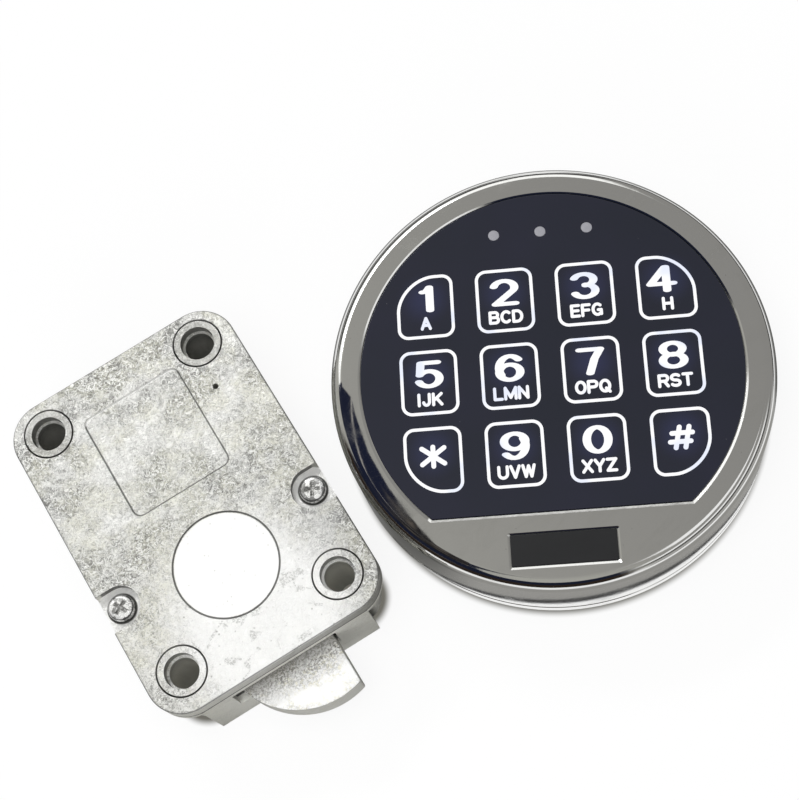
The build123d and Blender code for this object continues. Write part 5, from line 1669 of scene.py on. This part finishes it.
def key_outline(name, long_corner):
    """A rounded frame; long_corner gives the signs of the corner that is cut long, or nothing."""
    bpy.ops.object.select_all(action="DESELECT")
    bpy.ops.mesh.primitive_plane_add(size=1, location=(0, 0, PRINT_BASE))
    piece = bpy.context.object
    piece.scale = (KEY_WIDE, KEY_HIGH, 1)
    piece = newest(name)
    edit(piece)
    if long_corner:
        choose("VERT", lambda v: v.co.x * long_corner[0] > 0 and v.co.y * long_corner[1] > 0)
        bpy.ops.mesh.bevel(offset=LONG_CORNER, segments=16, affect="VERTICES", profile=LONG_PROFILE)
        reach_x, reach_y = KEY_WIDE / 2 - CORNER_REACH, KEY_HIGH / 2 - CORNER_REACH
        choose("VERT", lambda v: abs(v.co.x) > reach_x and abs(v.co.y) > reach_y)
    else:
        bpy.ops.mesh.select_all(action="SELECT")
    bpy.ops.mesh.bevel(offset=CORNER_R, segments=10, affect="VERTICES", profile=0.5)
    bpy.ops.mesh.select_all(action="SELECT")
    bpy.ops.mesh.inset(thickness=LINE)
    bpy.ops.mesh.delete(type="FACE")
    bpy.ops.mesh.select_all(action="SELECT")
    bpy.ops.mesh.extrude_region_move(TRANSFORM_OT_translate={"value": (0, 0, PRINT_THICK)})
    bpy.ops.mesh.select_all(action="SELECT")
    bpy.ops.mesh.normals_make_consistent(inside=False)
    leave()
    return piece


# %% [markdown]
# Now the twelve keys are put together. The letters' widths are measured against the picture, as a
# typesetter's would be, and each key is one object, since it is one piece of print.


# %% The twelve keys
KEYS = [("1", "A"), ("2", "BCD"), ("3", "EFG"), ("4", "H"), ("5", "IJK"), ("6", "LMN"), ("7", "OPQ"), ("8", "RST"),
        ("*", ""), ("9", "UVW"), ("0", "XYZ"), ("#", "")]
KEY_NAMES = {"*": "star", "#": "hash"}
SIGN_WIDE, SIGN_HIGH, SIGN_RAISE = 6.3, 6.0, 1.0
SIGN_NIB = (0.56, 0.56)
DIGIT_HIGH = 6.8
DIGIT_NIB = (0.97, 0.49)
DIGIT_WIDE = {"1": 4.6, "4": 7.3}
COMMON_DIGIT = 6.85
DIGIT_SHIFT = {"1": 0.75, "4": -0.95}
LETTER_DROP = 4.2
LETTER_HIGH = 3.35
LETTER_NIB = (0.36, 0.36)
LETTER_GAP = 0.1
LETTER_NARROW = 0.95
LETTER_WIDE = {"I": 0.94, "M": 3.3, "W": 3.5, "L": 2.5, "J": 2.5, "E": 2.55, "F": 2.5, "O": 2.85, "Q": 2.95}
COMMON_LETTER = 2.8


def key_letters(letters):
    """The small letters of a key, side by side about its middle."""
    widths = [LETTER_WIDE.get(letter, COMMON_LETTER) * LETTER_NARROW for letter in letters]
    pen_x = -(sum(widths) + LETTER_GAP * (len(widths) - 1)) / 2
    made = []
    for letter, width in zip(letters, widths):
        made.append(glyph(letter, (pen_x + width / 2, -LETTER_DROP), width, LETTER_HIGH, LETTER_NIB))
        pen_x += width + LETTER_GAP
    return made


for number, (digit, letters) in enumerate(KEYS):
    row, column = divmod(number, KEY_COLUMNS)
    key_x = (column - (KEY_COLUMNS - 1) / 2) * KEY_PITCH
    key_y = KEY_FIELD_Y + ((KEY_ROWS - 1) / 2 - row) * KEY_PITCH
    at_side = column in (0, KEY_COLUMNS - 1)
    at_end = row in (0, KEY_ROWS - 1)
    long_corner = (math.copysign(1, key_x), 1 if row == 0 else -1) if at_side and at_end else None
    parts = [key_outline("outline", long_corner)]
    if digit in KEY_NAMES:
        parts.append(glyph(digit, (0, SIGN_RAISE), SIGN_WIDE, SIGN_HIGH, SIGN_NIB))
    else:
        digit_place = (DIGIT_SHIFT.get(digit, 0.0), DIGIT_RAISE)
        parts.append(glyph(digit, digit_place, DIGIT_WIDE.get(digit, COMMON_DIGIT), DIGIT_HIGH, DIGIT_NIB))
    key = join("lit_key_" + KEY_NAMES.get(digit, digit), parts + key_letters(letters))
    key.data.transform(Matrix.Translation((key_x, key_y, 0)))
    complete(on_keypad(key), print_finish, "light_white", "keypad_head")

# %% [markdown]
# ## Finishes for the parts that stay as they are
# Everything inside keeps its shape from the frame and only gets its finish.

# %% Carried-over parts
CARRIED = {
    "bolt_pivot_pin": turned_finish, "locking_plate": sheet_finish, "solenoid_frame": sheet_finish,
    "solenoid_plunger": turned_finish, "solenoid_screws": screw_finish, "lock_board_screws": screw_finish,
    "keypad_board_screws": screw_finish, "solenoid_bobbin": black_finish, "solenoid_winding": copper_finish,
    "lock_circuit_board": board_finish, "keypad_circuit_board": board_finish, "lock_processor": chip_finish,
    "keypad_processor": chip_finish, "lock_capacitor": sleeve_finish, "cable_socket": black_finish,
    "mounting_base": base_finish, "light_guide": guide_finish, "panel_lights": lamp_finish,
    "sounder": black_finish, "cable_header": cream_finish, "battery": can_finish, "battery_clip": black_finish,
    "battery_tray": black_finish,
}
for node, finish in CARRIED.items():
    carried = frame["nodes"][node]
    if not carried.material_slots:
        carried.data.materials.append(finish)
    for slot in carried.material_slots:
        slot.material = finish
print("carried over", len(CARRIED))
